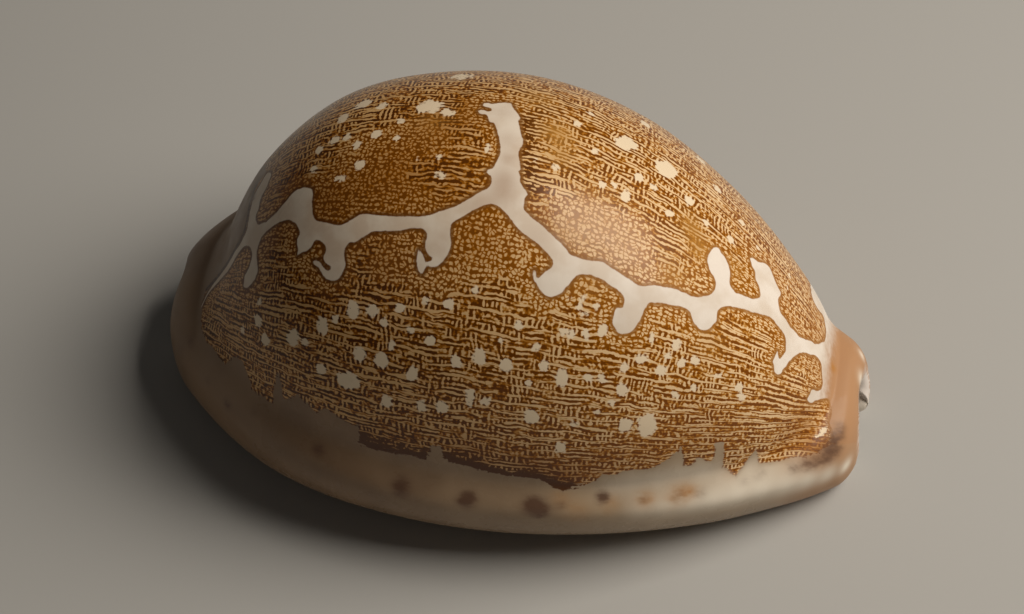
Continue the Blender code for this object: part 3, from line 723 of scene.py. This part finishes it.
def mark_shell(shell, tree):
    """Writes what the enamel's patterns need on the vertices: distances and strengths."""
    mesh = shell.data
    count = len(mesh.vertices)
    points = np.empty(count * 3)
    mesh.vertices.foreach_get("co", points)
    points = points.reshape(-1, 3) / MM
    along = np.empty(count)
    turn = np.empty(count)
    mesh.attributes["along"].data.foreach_get("value", along)
    mesh.attributes["turn"].data.foreach_get("value", turn)
    station = station_of(along)
    level = curve_through(WIDEST_LEVEL, along)
    centre = curve_through(SLIT_CENTRE, along)
    angle = np.degrees(np.arctan2(points[:, 1] - centre, points[:, 2] - level))

    def section_place(pixels):
        placed = np.array([on_shell(tree, *pixel) for pixel in pixels])
        where = place_within(placed[:, 0] + LENGTH / 2, 0.0, LENGTH)
        rise = placed[:, 2] - curve_through(WIDEST_LEVEL, where)
        reach = placed[:, 1] - curve_through(SLIT_CENTRE, where)
        return placed[:, 0] + LENGTH / 2, np.degrees(np.arctan2(reach, rise))

    edge_station, edge_angle = section_place(MAZE_EDGE)
    order = np.argsort(edge_station)
    near_gap = angle - np.interp(station, edge_station[order], edge_angle[order])
    far_gap = 78.0 + 4.0 * np.sin(station / 4.1) + 3.0 * np.sin(station / 1.9 + 1.0) - angle
    back_station, back_angle = section_place(MAZE_BACK)
    far_angle, far_station = np.transpose(FAR_BACK)
    kept = back_angle < far_angle[0]
    back_angle = np.append(back_angle[kept], far_angle)
    back_station = np.append(back_station[kept], far_station)
    order = np.argsort(back_angle)
    waves = 0.9 * np.sin(angle / 6.5) + 0.6 * np.sin(angle / 2.7)
    back_gap = station - np.interp(angle, back_angle[order], back_station[order]) + waves
    front_station, front_angle = section_place(MAZE_FRONT)
    order = np.argsort(front_angle)
    front_gap = np.interp(angle, front_angle[order], front_station[order]) - station
    front_gap += FAR_COLLAR_SHIFT * smooth_step(angle, *FAR_COLLAR_ANGLES)
    side_gap = np.radians(np.minimum(near_gap, far_gap)) * 24.0 * np.sin(np.pi * along) ** 0.6

    seen = in_photo(points)
    faces = facing_photo(points, tree)
    outline = closed_curve(LINE_OUTLINE)
    line = distance_from(points, tree, outline)
    in_line = inside_outline(seen, outline)
    line = np.where(faces, np.where(in_line, -line, line), np.minimum(line, front_gap))
    border = even_steps(MAZE_BACK + MAZE_EDGE)
    maze = distance_from(points, tree, border)
    in_maze = inside_outline(seen, np.concatenate([border, OFF_THE_SHELL]))
    maze = np.where(faces, np.where(in_maze, maze, -maze), np.minimum(side_gap, back_gap))

    spots = np.full(count, 9.0)
    for across, down, half_width, half_height in PALE_SPOTS:
        middle = on_shell(tree, across, down)
        close = np.linalg.norm(points - middle, axis=1) < 5.0
        away = (seen[close] - (across, down)) / (half_width, half_height)
        gap = (np.linalg.norm(away, axis=1) - 1) * min(half_width, half_height) / pixels_per_mm(middle)
        reach = max(half_width, half_height) / pixels_per_mm(middle)
        past = np.linalg.norm(points[close] - middle, axis=1) - reach
        spots[close] = np.minimum(spots[close], np.maximum(gap, past))
    hidden = random_spots()
    for x, y, z, radius in hidden:
        gap = np.linalg.norm(points - (x, y, z), axis=1) - radius
        spots = np.minimum(spots, gap)

    around_waves, along_waves = pattern_stretch(along, turn)
    values = {
        "station": station,
        "angle": angle,
        "around_waves": around_waves,
        "along_waves": along_waves,
        "line": line,
        "maze": maze,
        "spots": spots,
        "crease": distance_from(points, tree, even_steps(BACK_CREASE)),
        "brown": patches(points, tree, BROWN_PATCHES),
        "tan": patches(points, tree, TAN_PATCHES),
        "rows": patches(points, tree, ROW_PATCHES),
        "net": patches(points, tree, NET_PATCHES),
        "solid": patches(points, tree, SOLID_BORDER),
        "marks_and_groove_shade": patches(points, tree, MARGIN_MARKS_AND_GROOVE_SHADE) + far_marks(points),
        "ochre": patches(points, tree, OCHRE_MARKS),
        "shade": patches(points, tree, SHADED_LINE),
        "white_and_highlight": patches(points, tree, WHITE_AND_HIGHLIGHT_MARKS),
        "groove": groove_depth(station, np.where(turn < 0.5, -1.0, 1.0)) / GROOVE_DEPTH,
        "lip": np.minimum(turn, 1 - turn) * 2,
    }
    for name, value in values.items():
        layer = mesh.attributes.new(name, "FLOAT", "POINT")
        layer.data.foreach_set("value", np.ascontiguousarray(value, dtype=np.float32))


def pattern_stretch(along, turn):
    """How much farther it is on the skin than in the pattern's flat coordinates, each way."""
    outer = np.ones(len(along), bool)
    step = 0.002

    def place(where, lean):
        x, y, z = wall_point(where, lean, outer)
        angle = np.degrees(np.arctan2(y - curve_through(SLIT_CENTRE, where), z - curve_through(WIDEST_LEVEL, where)))
        return np.stack([x, y, z], axis=1), angle

    turned = np.clip(turn, 0.22, 0.78)
    before, angle_before = place(along, turned - step)
    after, angle_after = place(along, turned + step)
    girth = np.linalg.norm(after - before, axis=1) / np.maximum(np.abs(angle_after - angle_before), TINY)
    inward = np.clip(along, 0.02, 0.98)
    before, _ = place(inward - step, turned)
    after, _ = place(inward + step, turned)
    run = station_of(inward + step) - station_of(inward - step)
    slope = np.linalg.norm(after - before, axis=1) / run
    return np.clip(girth / AROUND_MM, 0.4, 1.6), np.clip(slope, 0.8, 2.0)


def far_marks(points):
    """Soft brown marks along the margin on the side that the photograph doesn't show."""
    pick = np.random.default_rng(5)
    total = np.zeros(len(points))
    for station in np.arange(12.0, 68.0, 6.5):
        along = place_within(np.array([station + pick.uniform(-1.5, 1.5)]), 0.0, LENGTH)
        turn = np.array([pick.uniform(0.764, 0.782)])
        place = np.ravel(wall_point(along, turn, np.array([True])))
        gap = np.linalg.norm(points - place, axis=1) / pick.uniform(0.7, 1.3)
        total += pick.uniform(0.5, 1.0) * np.exp(-gap ** 2)
    return total


def random_spots():
    """Pale spots on the side that the photograph doesn't show."""
    pick = np.random.default_rng(11)
    spots = []
    while len(spots) < 46:
        along = pick.uniform(0.18, 0.82)
        turn = pick.uniform(0.62, 0.76)
        radius = pick.uniform(0.35, 1.0)
        place = [float(np.ravel(v)[0]) for v in wall_point(np.array([along]), np.array([turn]), np.array([True]))]
        if all(math.dist(place, other[:3]) > radius + other[3] + 1.2 for other in spots):
            spots.append((*place, radius))
    return spots


def node(tree, kind, inputs=None, **settings):
    """Adds a shader node, sets it, and fills its inputs with values or links."""
    made = tree.nodes.new(kind)
    for name, value in settings.items():
        setattr(made, name, value)
    for name, value in (inputs or {}).items():
        socket = made.inputs[name]
        if isinstance(value, bpy.types.NodeSocket):
            tree.links.new(value, socket)
        else:
            socket.default_value = value
    return made


def maths(tree, operation, *values, clamp=False):
    made = tree.nodes.new("ShaderNodeMath")
    made.operation = operation
    made.use_clamp = clamp
    for k, value in enumerate(values):
        if isinstance(value, bpy.types.NodeSocket):
            tree.links.new(value, made.inputs[k])
        else:
            made.inputs[k].default_value = value
    return made.outputs[0]


def ramp(tree, value, low, high, start=0.0, end=1.0):
    """start below low, end above high, and smooth between."""
    made = node(
        tree,
        "ShaderNodeMapRange",
        {"Value": value, "From Min": low, "From Max": high, "To Min": start, "To Max": end},
        interpolation_type="SMOOTHSTEP",
    )
    return made.outputs["Result"]


def mix(tree, share, first, second):
    made = node(tree, "ShaderNodeMix", data_type="RGBA")
    for k, value in ((0, share), (6, first), (7, second)):
        if isinstance(value, bpy.types.NodeSocket):
            tree.links.new(value, made.inputs[k])
        else:
            made.inputs[k].default_value = value
    return made.outputs[2]


def read(tree, name):
    return node(tree, "ShaderNodeAttribute", attribute_name=name).outputs["Fac"]


def noise(tree, vector, scale, detail=2.0, roughness=0.5):
    made = node(
        tree,
        "ShaderNodeTexNoise",
        {"Vector": vector, "Scale": scale, "Detail": detail, "Roughness": roughness},
    )
    return made.outputs["Fac"]


def gabor(tree, vector, scale, frequency, direction):
    """Waves in one direction, between -0.5 and 0.5, that start and end here and there."""
    made = node(
        tree,
        "ShaderNodeTexGabor",
        {"Vector": vector, "Scale": scale, "Frequency": frequency, "Anisotropy": 1.0},
        gabor_type="2D",
    )
    made.inputs[4].default_value = direction
    return maths(tree, "SUBTRACT", made.outputs["Value"], 0.5)


def scaled(tree, vector, across, around):
    return node(tree, "ShaderNodeVectorMath", {0: vector, 1: (across, around, 1.0)}, operation="MULTIPLY").outputs[0]


def pushed(tree, vector, source, scale, detail, amount):
    """vector, moved about in its plane by a noise over the shell."""
    push = node(tree, "ShaderNodeTexNoise", {"Vector": source, "Scale": scale, "Detail": detail})
    away = node(tree, "ShaderNodeVectorMath", {0: push.outputs["Color"], 1: (0.5, 0.5, 0.5)}, operation="SUBTRACT")
    return node(
        tree, "ShaderNodeVectorMath", {0: away.outputs[0], 1: (amount, amount, 0.0), 2: vector},
        operation="MULTIPLY_ADD",
    ).outputs[0]


def blend(tree, share, first, second):
    made = node(tree, "ShaderNodeMix", data_type="FLOAT")
    for k, value in ((0, share), (2, first), (3, second)):
        if isinstance(value, bpy.types.NodeSocket):
            tree.links.new(value, made.inputs[k])
        else:
            made.inputs[k].default_value = value
    return made.outputs[0]


def maze_group():
    """Fine brown lines in rows along the shell, cut into bars and glyphs, with dots near the cream line."""
    group = bpy.data.node_groups.new("maze_lines", "ShaderNodeTree")
    group.interface.new_socket("Place", in_out="INPUT", socket_type="NodeSocketVector")
    for name in ("Along", "Around", "Along Waves", "Around Waves", "Brown", "Net", "Rows", "Solid"):
        group.interface.new_socket(name, in_out="INPUT", socket_type="NodeSocketFloat")
    for name in ("Field", "Lines", "Cores", "Pale"):
        group.interface.new_socket(name, in_out="OUTPUT", socket_type="NodeSocketFloat")
    start = group.nodes.new("NodeGroupInput")
    end = group.nodes.new("NodeGroupOutput")
    place = start.outputs["Place"]
    flat = node(group, "ShaderNodeCombineXYZ", {"X": start.outputs["Along"], "Y": start.outputs["Around"]})
    moved = pushed(group, flat.outputs[0], place, 0.35, 2.0, 1.0)
    moved = pushed(group, moved, place, 1.6, 1.0, 0.2)

    around = start.outputs["Around Waves"]
    rows = gabor(group, scaled(group, moved, 0.52, 1.0), 0.8, maths(group, "MULTIPLY", around, 2.2), math.pi / 2)
    bars = gabor(group, moved, 1.0, maths(group, "MULTIPLY", start.outputs["Along Waves"], 1.85), 0.0)
    beads = maths(group, "SUBTRACT", noise(group, place, 2.2, 1.0), 0.5)
    in_bars = ramp(group, noise(group, scaled(group, moved, 0.45, 1.3), 0.75, 1.0), 0.465, 0.525)
    may_vary = maths(group, "SUBTRACT", 1.0, start.outputs["Rows"], clamp=True)
    in_bars = maths(group, "MULTIPLY", in_bars, may_vary)
    barred = maths(group, "MULTIPLY_ADD", bars, 1.1, maths(group, "MULTIPLY", rows, 0.25))
    total = blend(group, in_bars, maths(group, "MULTIPLY", rows, 1.1), barred)
    total = maths(group, "MULTIPLY_ADD", beads, 0.68, maths(group, "ADD", total, 0.015))

    height = node(group, "ShaderNodeSeparateXYZ", {0: moved}).outputs["Y"]
    wave = maths(group, "SINE", maths(group, "MULTIPLY", height, 2 * math.pi * 1.05))
    beside = maths(group, "ABSOLUTE", maths(group, "ADD", wave, 0.3))
    beside = maths(group, "SUBTRACT", 1.0, maths(group, "MULTIPLY", beside, 2.5), clamp=True)
    breaks = maths(group, "SUBTRACT", noise(group, scaled(group, moved, 0.36, 1.6), 1.0, 2.0), 0.5)
    banks = maths(group, "MULTIPLY_ADD", wave, 0.55, maths(group, "MULTIPLY_ADD", breaks, 1.4, 0.47))
    total = maths(group, "MINIMUM", maths(group, "MULTIPLY_ADD", beside, 0.13, total), banks)

    shaken = scaled(group, pushed(group, moved, place, 2.4, 1.0, 0.35), 1.95, 2.65)
    edges, centres = (
        node(
            group, "ShaderNodeTexVoronoi", {"Vector": shaken, "Scale": 1.0, "Randomness": 0.75},
            voronoi_dimensions="2D", feature=feature,
        ).outputs["Distance"]
        for feature in ("DISTANCE_TO_EDGE", "F1")
    )
    net = maths(
        group, "MAXIMUM", maths(group, "SUBTRACT", 0.15, edges), maths(group, "MULTIPLY_ADD", centres, 0.8, -0.32)
    )
    net = maths(group, "MULTIPLY_ADD", beads, 0.35, net)
    net = maths(group, "MULTIPLY_ADD", rows, 0.4, maths(group, "MULTIPLY_ADD", net, 0.9, -0.045))
    in_net = maths(group, "MULTIPLY", start.outputs["Net"], may_vary)
    total = blend(group, in_net, total, net)
    total = maths(group, "MULTIPLY_ADD", start.outputs["Brown"], 0.06, total)
    sharper = maths(group, "MULTIPLY_ADD", start.outputs["Solid"], 1.6, 1.0)
    total = maths(group, "MULTIPLY_ADD", start.outputs["Solid"], 0.12, maths(group, "MULTIPLY", total, sharper))
    group.links.new(total, end.inputs["Field"])
    group.links.new(ramp(group, total, -0.02, 0.025), end.inputs["Lines"])
    group.links.new(ramp(group, total, 0.025, 0.12), end.inputs["Cores"])
    group.links.new(ramp(group, total, -0.095, -0.02, 1.0, 0.0), end.inputs["Pale"])
    return group


def enamel():
    """The shell's glossy enamel: its patterns on the dome, plain margins, pale lips and inside."""
    material = bpy.data.materials.new("shell_enamel")
    material.use_nodes = True
    tree = material.node_tree
    surface = tree.nodes["Principled BSDF"]
    surface.inputs["Roughness"].default_value = 0.2
    surface.inputs["Coat Weight"].default_value = 0.1
    surface.inputs["Specular IOR Level"].default_value = 0.22
    surface.inputs["Coat Roughness"].default_value = 0.06

    where = node(tree, "ShaderNodeTexCoord").outputs["Object"]
    place = node(tree, "ShaderNodeVectorMath", {0: where, 1: (1000.0, 1000.0, 1000.0)}, operation="MULTIPLY").outputs[0]
    station = read(tree, "station")
    angle = read(tree, "angle")
    line = read(tree, "line")
    maze = read(tree, "maze")
    spots = read(tree, "spots")
    brown = read(tree, "brown")
    tan = read(tree, "tan")
    marks_and_groove_shade = read(tree, "marks_and_groove_shade")
    inside = read(tree, "inside")
    lip = read(tree, "lip")
    groove = read(tree, "groove")
    ochre = read(tree, "ochre")
    white_and_highlight = read(tree, "white_and_highlight")
    solid = read(tree, "solid")
    rows = read(tree, "rows")

    around = maths(tree, "MULTIPLY", angle, AROUND_MM)
    fine_wobble = maths(tree, "SUBTRACT", noise(tree, place, 1.1, 3.0, 0.6), 0.5)
    wide_wobble = maths(tree, "SUBTRACT", noise(tree, place, 0.28, 2.0), 0.5)
    line_gap = maths(tree, "MULTIPLY_ADD", fine_wobble, 0.25, line)
    near_line = ramp(tree, line_gap, 0.3, 2.2, 1.0, 0.0)
    in_net = ramp(tree, maths(tree, "MULTIPLY_ADD", wide_wobble, 4.0, line), 1.2, 2.6, 1.0, 0.0)
    patchy = maths(tree, "MULTIPLY_ADD", wide_wobble, 1.6, read(tree, "net"))
    in_net = maths(tree, "MAXIMUM", in_net, ramp(tree, patchy, 0.4, 0.75))

    maze_lines = node(
        tree,
        "ShaderNodeGroup",
        {
            "Place": place,
            "Along": station,
            "Around": around,
            "Along Waves": read(tree, "along_waves"),
            "Around Waves": read(tree, "around_waves"),
            "Brown": maths(tree, "MULTIPLY_ADD", near_line, 0.2, brown),
            "Net": in_net,
            "Rows": rows,
            "Solid": solid,
        },
        node_tree=maze_group(),
    )
    field = maze_lines.outputs["Field"]
    drawn = maze_lines.outputs["Lines"]
    cores = maze_lines.outputs["Cores"]
    pale_streaks = maze_lines.outputs["Pale"]

    # Tones change from the back to the front end, partly as the shell's own tones and partly as painted light: paler
    # towards the front, where the light falls, with a painted glare on the lines there, and darker towards the back,
    # which lies in shade.
    tones_and_light_to_front = ramp(tree, station, 20.0, 62.0)
    line_dark = mix(tree, tones_and_light_to_front, (0.075, 0.020, 0.001, 1.0), (0.20, 0.056, 0.002, 1.0))
    line_gold = mix(tree, tones_and_light_to_front, (0.27, 0.080, 0.001, 1.0), (0.40, 0.135, 0.005, 1.0))
    brown_tone = mix(tree, cores, line_gold, line_dark)
    off_rows = maths(tree, "SUBTRACT", 1.0, rows, clamp=True)
    brown_tone = mix(tree, maths(tree, "MULTIPLY", maths(tree, "MULTIPLY", in_net, 0.5), off_rows), brown_tone, line_gold)
    brown_tone = mix(tree, maths(tree, "MULTIPLY", solid, 1.1, clamp=True), brown_tone, (0.11, 0.032, 0.002, 1.0))

    ground = mix(tree, tones_and_light_to_front, (0.48, 0.20, 0.025, 1.0), (0.58, 0.29, 0.07, 1.0))
    pale_ground = mix(tree, tones_and_light_to_front, (0.70, 0.425, 0.175, 1.0), (0.84, 0.59, 0.33, 1.0))
    ground = mix(tree, pale_streaks, ground, pale_ground)
    mid_brown = mix(tree, tones_and_light_to_front, (0.35, 0.12, 0.006, 1.0), (0.43, 0.165, 0.015, 1.0))
    ground = mix(tree, maths(tree, "MULTIPLY", brown, 0.7, clamp=True), ground, mid_brown)
    patterned = mix(tree, drawn, ground, brown_tone)
    patterned = mix(tree, maths(tree, "MULTIPLY", tan, 0.75, clamp=True), patterned, (0.52, 0.25, 0.05, 1.0))

    spot_gap = maths(tree, "MULTIPLY_ADD", fine_wobble, 0.9, spots)
    spot_gap = maths(tree, "MULTIPLY_ADD", field, 0.35, spot_gap)
    in_spot = ramp(tree, spot_gap, -0.1, 0.1, 1.0, 0.0)
    patterned = mix(tree, in_spot, patterned, (0.88, 0.71, 0.50, 1.0))
    on_border = ramp(tree, maths(tree, "MULTIPLY_ADD", fine_wobble, 1.6, maze), 0.6, 1.1, 1.0, 0.0)
    on_border = maths(tree, "MULTIPLY", on_border, ramp(tree, solid, 0.25, 0.6))
    patterned = mix(tree, on_border, patterned, (0.10, 0.030, 0.005, 1.0))

    outline = ramp(tree, line_gap, 0.2, 0.5, 1.0, 0.0)
    outline_tone = mix(tree, tones_and_light_to_front, (0.12, 0.036, 0.003, 1.0), (0.36, 0.15, 0.03, 1.0))
    patterned = mix(tree, maths(tree, "MULTIPLY", outline, 0.85), patterned, outline_tone)
    veiled = ramp(tree, noise(tree, place, 0.3, 3.0), 0.35, 0.65)
    cream_left = mix(tree, veiled, (0.82, 0.70, 0.56, 1.0), (0.71, 0.56, 0.42, 1.0))
    cream_right = mix(tree, veiled, (0.87, 0.78, 0.69, 1.0), (0.77, 0.66, 0.55, 1.0))
    cream = mix(tree, tones_and_light_to_front, cream_left, cream_right)
    cream = mix(tree, maths(tree, "MULTIPLY", read(tree, "shade"), 0.6, clamp=True), cream, (0.52, 0.38, 0.28, 1.0))
    collar = ramp(tree, maths(tree, "MULTIPLY_ADD", fine_wobble, 1.5, station), 73.2, 75.2)
    cream = mix(tree, collar, cream, (0.48, 0.26, 0.13, 1.0))
    on_line = ramp(tree, line_gap, -0.07, 0.07, 1.0, 0.0)
    patterned = mix(tree, on_line, patterned, cream)

    clouds = ramp(tree, noise(tree, place, 0.1, 3.0), 0.35, 0.65)
    # The margin's darker back half is partly its own grey-brown and partly painted shade.
    margin_pale = mix(tree, tones_and_light_to_front, (0.31, 0.195, 0.113, 1.0), (0.52, 0.39, 0.26, 1.0))
    margin_dull = mix(tree, tones_and_light_to_front, (0.24, 0.148, 0.085, 1.0), (0.41, 0.295, 0.19, 1.0))
    margin = mix(tree, clouds, margin_pale, margin_dull)
    low = ramp(tree, node(tree, "ShaderNodeSeparateXYZ", {0: place}).outputs["Z"], 1.0, 9.0, 1.0, 0.0)
    margin = mix(tree, maths(tree, "MULTIPLY", low, 0.15), margin, (0.62, 0.53, 0.43, 1.0))
    front = ramp(tree, station, 68.0, 75.0)
    margin = mix(tree, maths(tree, "MULTIPLY", front, 0.85), margin, (0.48, 0.26, 0.13, 1.0))
    maze_gap = maths(tree, "MULTIPLY_ADD", wide_wobble, 1.2, maze)
    maze_gap = maths(tree, "MULTIPLY_ADD", fine_wobble, 0.7, maze_gap)
    ragged = maths(tree, "MULTIPLY_ADD", solid, -0.5, 0.6)
    maze_gap = maths(tree, "ADD", maths(tree, "MULTIPLY", field, maths(tree, "MAXIMUM", ragged, 0.1)), maze_gap)
    colour = mix(tree, ramp(tree, maze_gap, -0.08, 0.12), margin, patterned)

    streaks = noise(tree, scaled(tree, place, 0.35, 1.0), 0.9, 3.0, 0.6)
    off_maze = ramp(tree, maze, -0.6, 0.4, 1.0, 0.0)
    off_line = maths(tree, "MAXIMUM", off_maze, on_line)
    off_line = maths(tree, "MAXIMUM", off_line, ramp(tree, station, 5.0, 7.0, 1.0, 0.0))
    off_line = maths(tree, "MAXIMUM", off_line, ramp(tree, station, 70.0, 72.0))
    uneven = maths(tree, "MULTIPLY_ADD", maths(tree, "SUBTRACT", streaks, 0.5), 2.4, 1.0)
    # Paler enamel along the margin's ridge, partly a painted highlight on it.
    paled_and_lit = maths(tree, "MULTIPLY", white_and_highlight, off_line, clamp=True)
    colour = mix(tree, paled_and_lit, colour, (0.90, 0.80, 0.66, 1.0))
    ochred = maths(tree, "MULTIPLY", maths(tree, "MULTIPLY", ochre, off_line), maths(tree, "MULTIPLY", uneven, 0.7), clamp=True)
    colour = mix(tree, ochred, colour, (0.48, 0.22, 0.06, 1.0))
    # Brown marks on the margin, and painted shade in the groove above the ridge near the front end.
    darkened_and_shaded = ramp(tree, maths(tree, "MULTIPLY", marks_and_groove_shade, uneven), 0.05, 1.05)
    darkened_and_shaded = maths(tree, "MULTIPLY", darkened_and_shaded, maths(tree, "MULTIPLY", off_line, 0.88))
    colour = mix(tree, darkened_and_shaded, colour, (0.13, 0.065, 0.04, 1.0))
    # Painted shade: a dark line along the crease between the back roll and the dome.
    painted_crease_shade = ramp(tree, read(tree, "crease"), 0.12, 0.5, 1.0, 0.0)
    colour = mix(tree, maths(tree, "MULTIPLY", painted_crease_shade, 0.85), colour, (0.05, 0.022, 0.012, 1.0))

    base_tone = mix(tree, groove, (0.80, 0.72, 0.62, 1.0), (0.55, 0.36, 0.22, 1.0))
    on_lip = ramp(tree, lip, 0.24, 0.34, 1.0, 0.0)
    colour = mix(tree, on_lip, colour, base_tone)
    colour = mix(tree, inside, colour, (0.80, 0.72, 0.66, 1.0))
    tree.links.new(colour, surface.inputs["Base Color"])

    rough = ramp(tree, noise(tree, place, 0.5, 3.0), 0.3, 0.7, 0.24, 0.34)
    rough = maths(tree, "MULTIPLY_ADD", front, 0.22, rough)
    rough = maths(tree, "MULTIPLY_ADD", ramp(tree, station, 4.0, 16.0, 1.0, 0.0), 0.25, rough)
    tree.links.new(rough, surface.inputs["Roughness"])
    dents = noise(tree, place, 0.22, 2.0)
    bump = node(tree, "ShaderNodeBump", {"Height": dents, "Strength": 0.08, "Distance": 0.0005})
    tree.links.new(bump.outputs["Normal"], surface.inputs["Normal"])
    return material


def spread_map(mesh):
    """Gives the dome most of the texture map, and the hollow a strip of it."""
    layer = mesh.uv_layers["OFBake"]
    loops = len(mesh.loops)
    uv = np.empty(loops * 2)
    layer.uv.foreach_get("vector", uv)
    uv = uv.reshape(-1, 2)
    starts = np.empty(len(mesh.polygons), int)
    totals = np.empty(len(mesh.polygons), int)
    mesh.polygons.foreach_get("loop_start", starts)
    mesh.polygons.foreach_get("loop_total", totals)
    face = np.repeat(np.arange(len(totals)), totals)
    middle = np.bincount(face, uv[:, 0]) / totals
    outer = middle[face] < 0.5
    half = NOSE_COLUMNS + BASE_COLUMNS + ARC_COLUMNS
    lip_share = (NOSE_COLUMNS + BASE_COLUMNS) / (2 * half)
    places = (0.0, lip_share, 1 - lip_share, 1.0)
    outer_map = np.interp(uv[:, 0] * 2, places, (0.0, 0.07, 0.83, 0.90))
    inner_map = np.interp(uv[:, 0] * 2 - 1, (0.0, 1.0), (0.905, 1.0))
    uv[:, 0] = np.where(outer, outer_map, inner_map)
    layer.uv.foreach_set("vector", uv.ravel())


def make_shell():
    wall = make_wall()
    tree = BVHTree.FromBMesh(wall)
    mesh = bpy.data.meshes.new("cowrie")
    wall.to_mesh(mesh)
    wall.free()
    mesh.shade_smooth()
    shell = bpy.data.objects.new("cowrie", mesh)
    bpy.context.scene.collection.objects.link(shell)
    spread_map(mesh)
    mark_shell(shell, tree)
    mesh.materials.append(enamel())
    return shell


def plain_material(name, colour, roughness):
    material = bpy.data.materials.new(name)
    material.use_nodes = True
    surface = material.node_tree.nodes["Principled BSDF"]
    surface.inputs["Base Color"].default_value = colour
    surface.inputs["Roughness"].default_value = roughness
    return material


def make_floor():
    plane = bmesh.new()
    bmesh.ops.create_grid(plane, x_segments=1, y_segments=1, size=1.5)
    mesh = bpy.data.meshes.new("floor")
    plane.to_mesh(mesh)
    plane.free()
    mesh.materials.append(plain_material("floor_paper", (0.46, 0.45, 0.43, 1.0), 0.9))
    floor = bpy.data.objects.new("floor", mesh)
    bpy.context.scene.collection.objects.link(floor)


def add_light(name, place, size, power, colour, spread):
    """A soft square light that shines at the shell."""
    data = bpy.data.lights.new(name, "AREA")
    data.size = size
    data.energy = power
    data.color = colour
    data.spread = math.radians(spread)
    light = bpy.data.objects.new(name, data)
    light.location = place
    towards = Vector((0.0, 0.0, 0.015)) - Vector(place)
    light.rotation_euler = towards.to_track_quat("-Z", "Y").to_euler()
    bpy.context.scene.collection.objects.link(light)


def set_stage():
    make_floor()
    world = bpy.data.worlds.new("studio")
    world.use_nodes = True
    world.node_tree.nodes["Background"].inputs["Color"].default_value = (1.0, 0.95, 0.88, 1.0)
    world.node_tree.nodes["Background"].inputs["Strength"].default_value = 0.034
    bpy.context.scene.world = world
    bpy.context.scene.view_settings.view_transform = "Standard"
    add_light("key", (0.27, 0.06, 0.33), 0.28, 0.75, (1.0, 0.93, 0.83), 110.0)
    add_light("fill", (-0.5, -0.5, 0.45), 0.7, 0.11, (1.0, 0.96, 0.90), 180.0)

    data = bpy.data.cameras.new("camera")
    data.lens = CAMERA_LENS
    data.sensor_width = CAMERA_SENSOR
    data.clip_start = 0.01
    camera = bpy.data.objects.new("camera", data)
    frame_of = Matrix(camera_axes()).transposed().to_4x4()
    frame_of.translation = camera_place() * MM
    camera.matrix_world = frame_of
    bpy.context.scene.collection.objects.link(camera)
    bpy.context.scene.camera = camera


shell = make_shell()
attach(shell, "root")
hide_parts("shell")
set_stage()
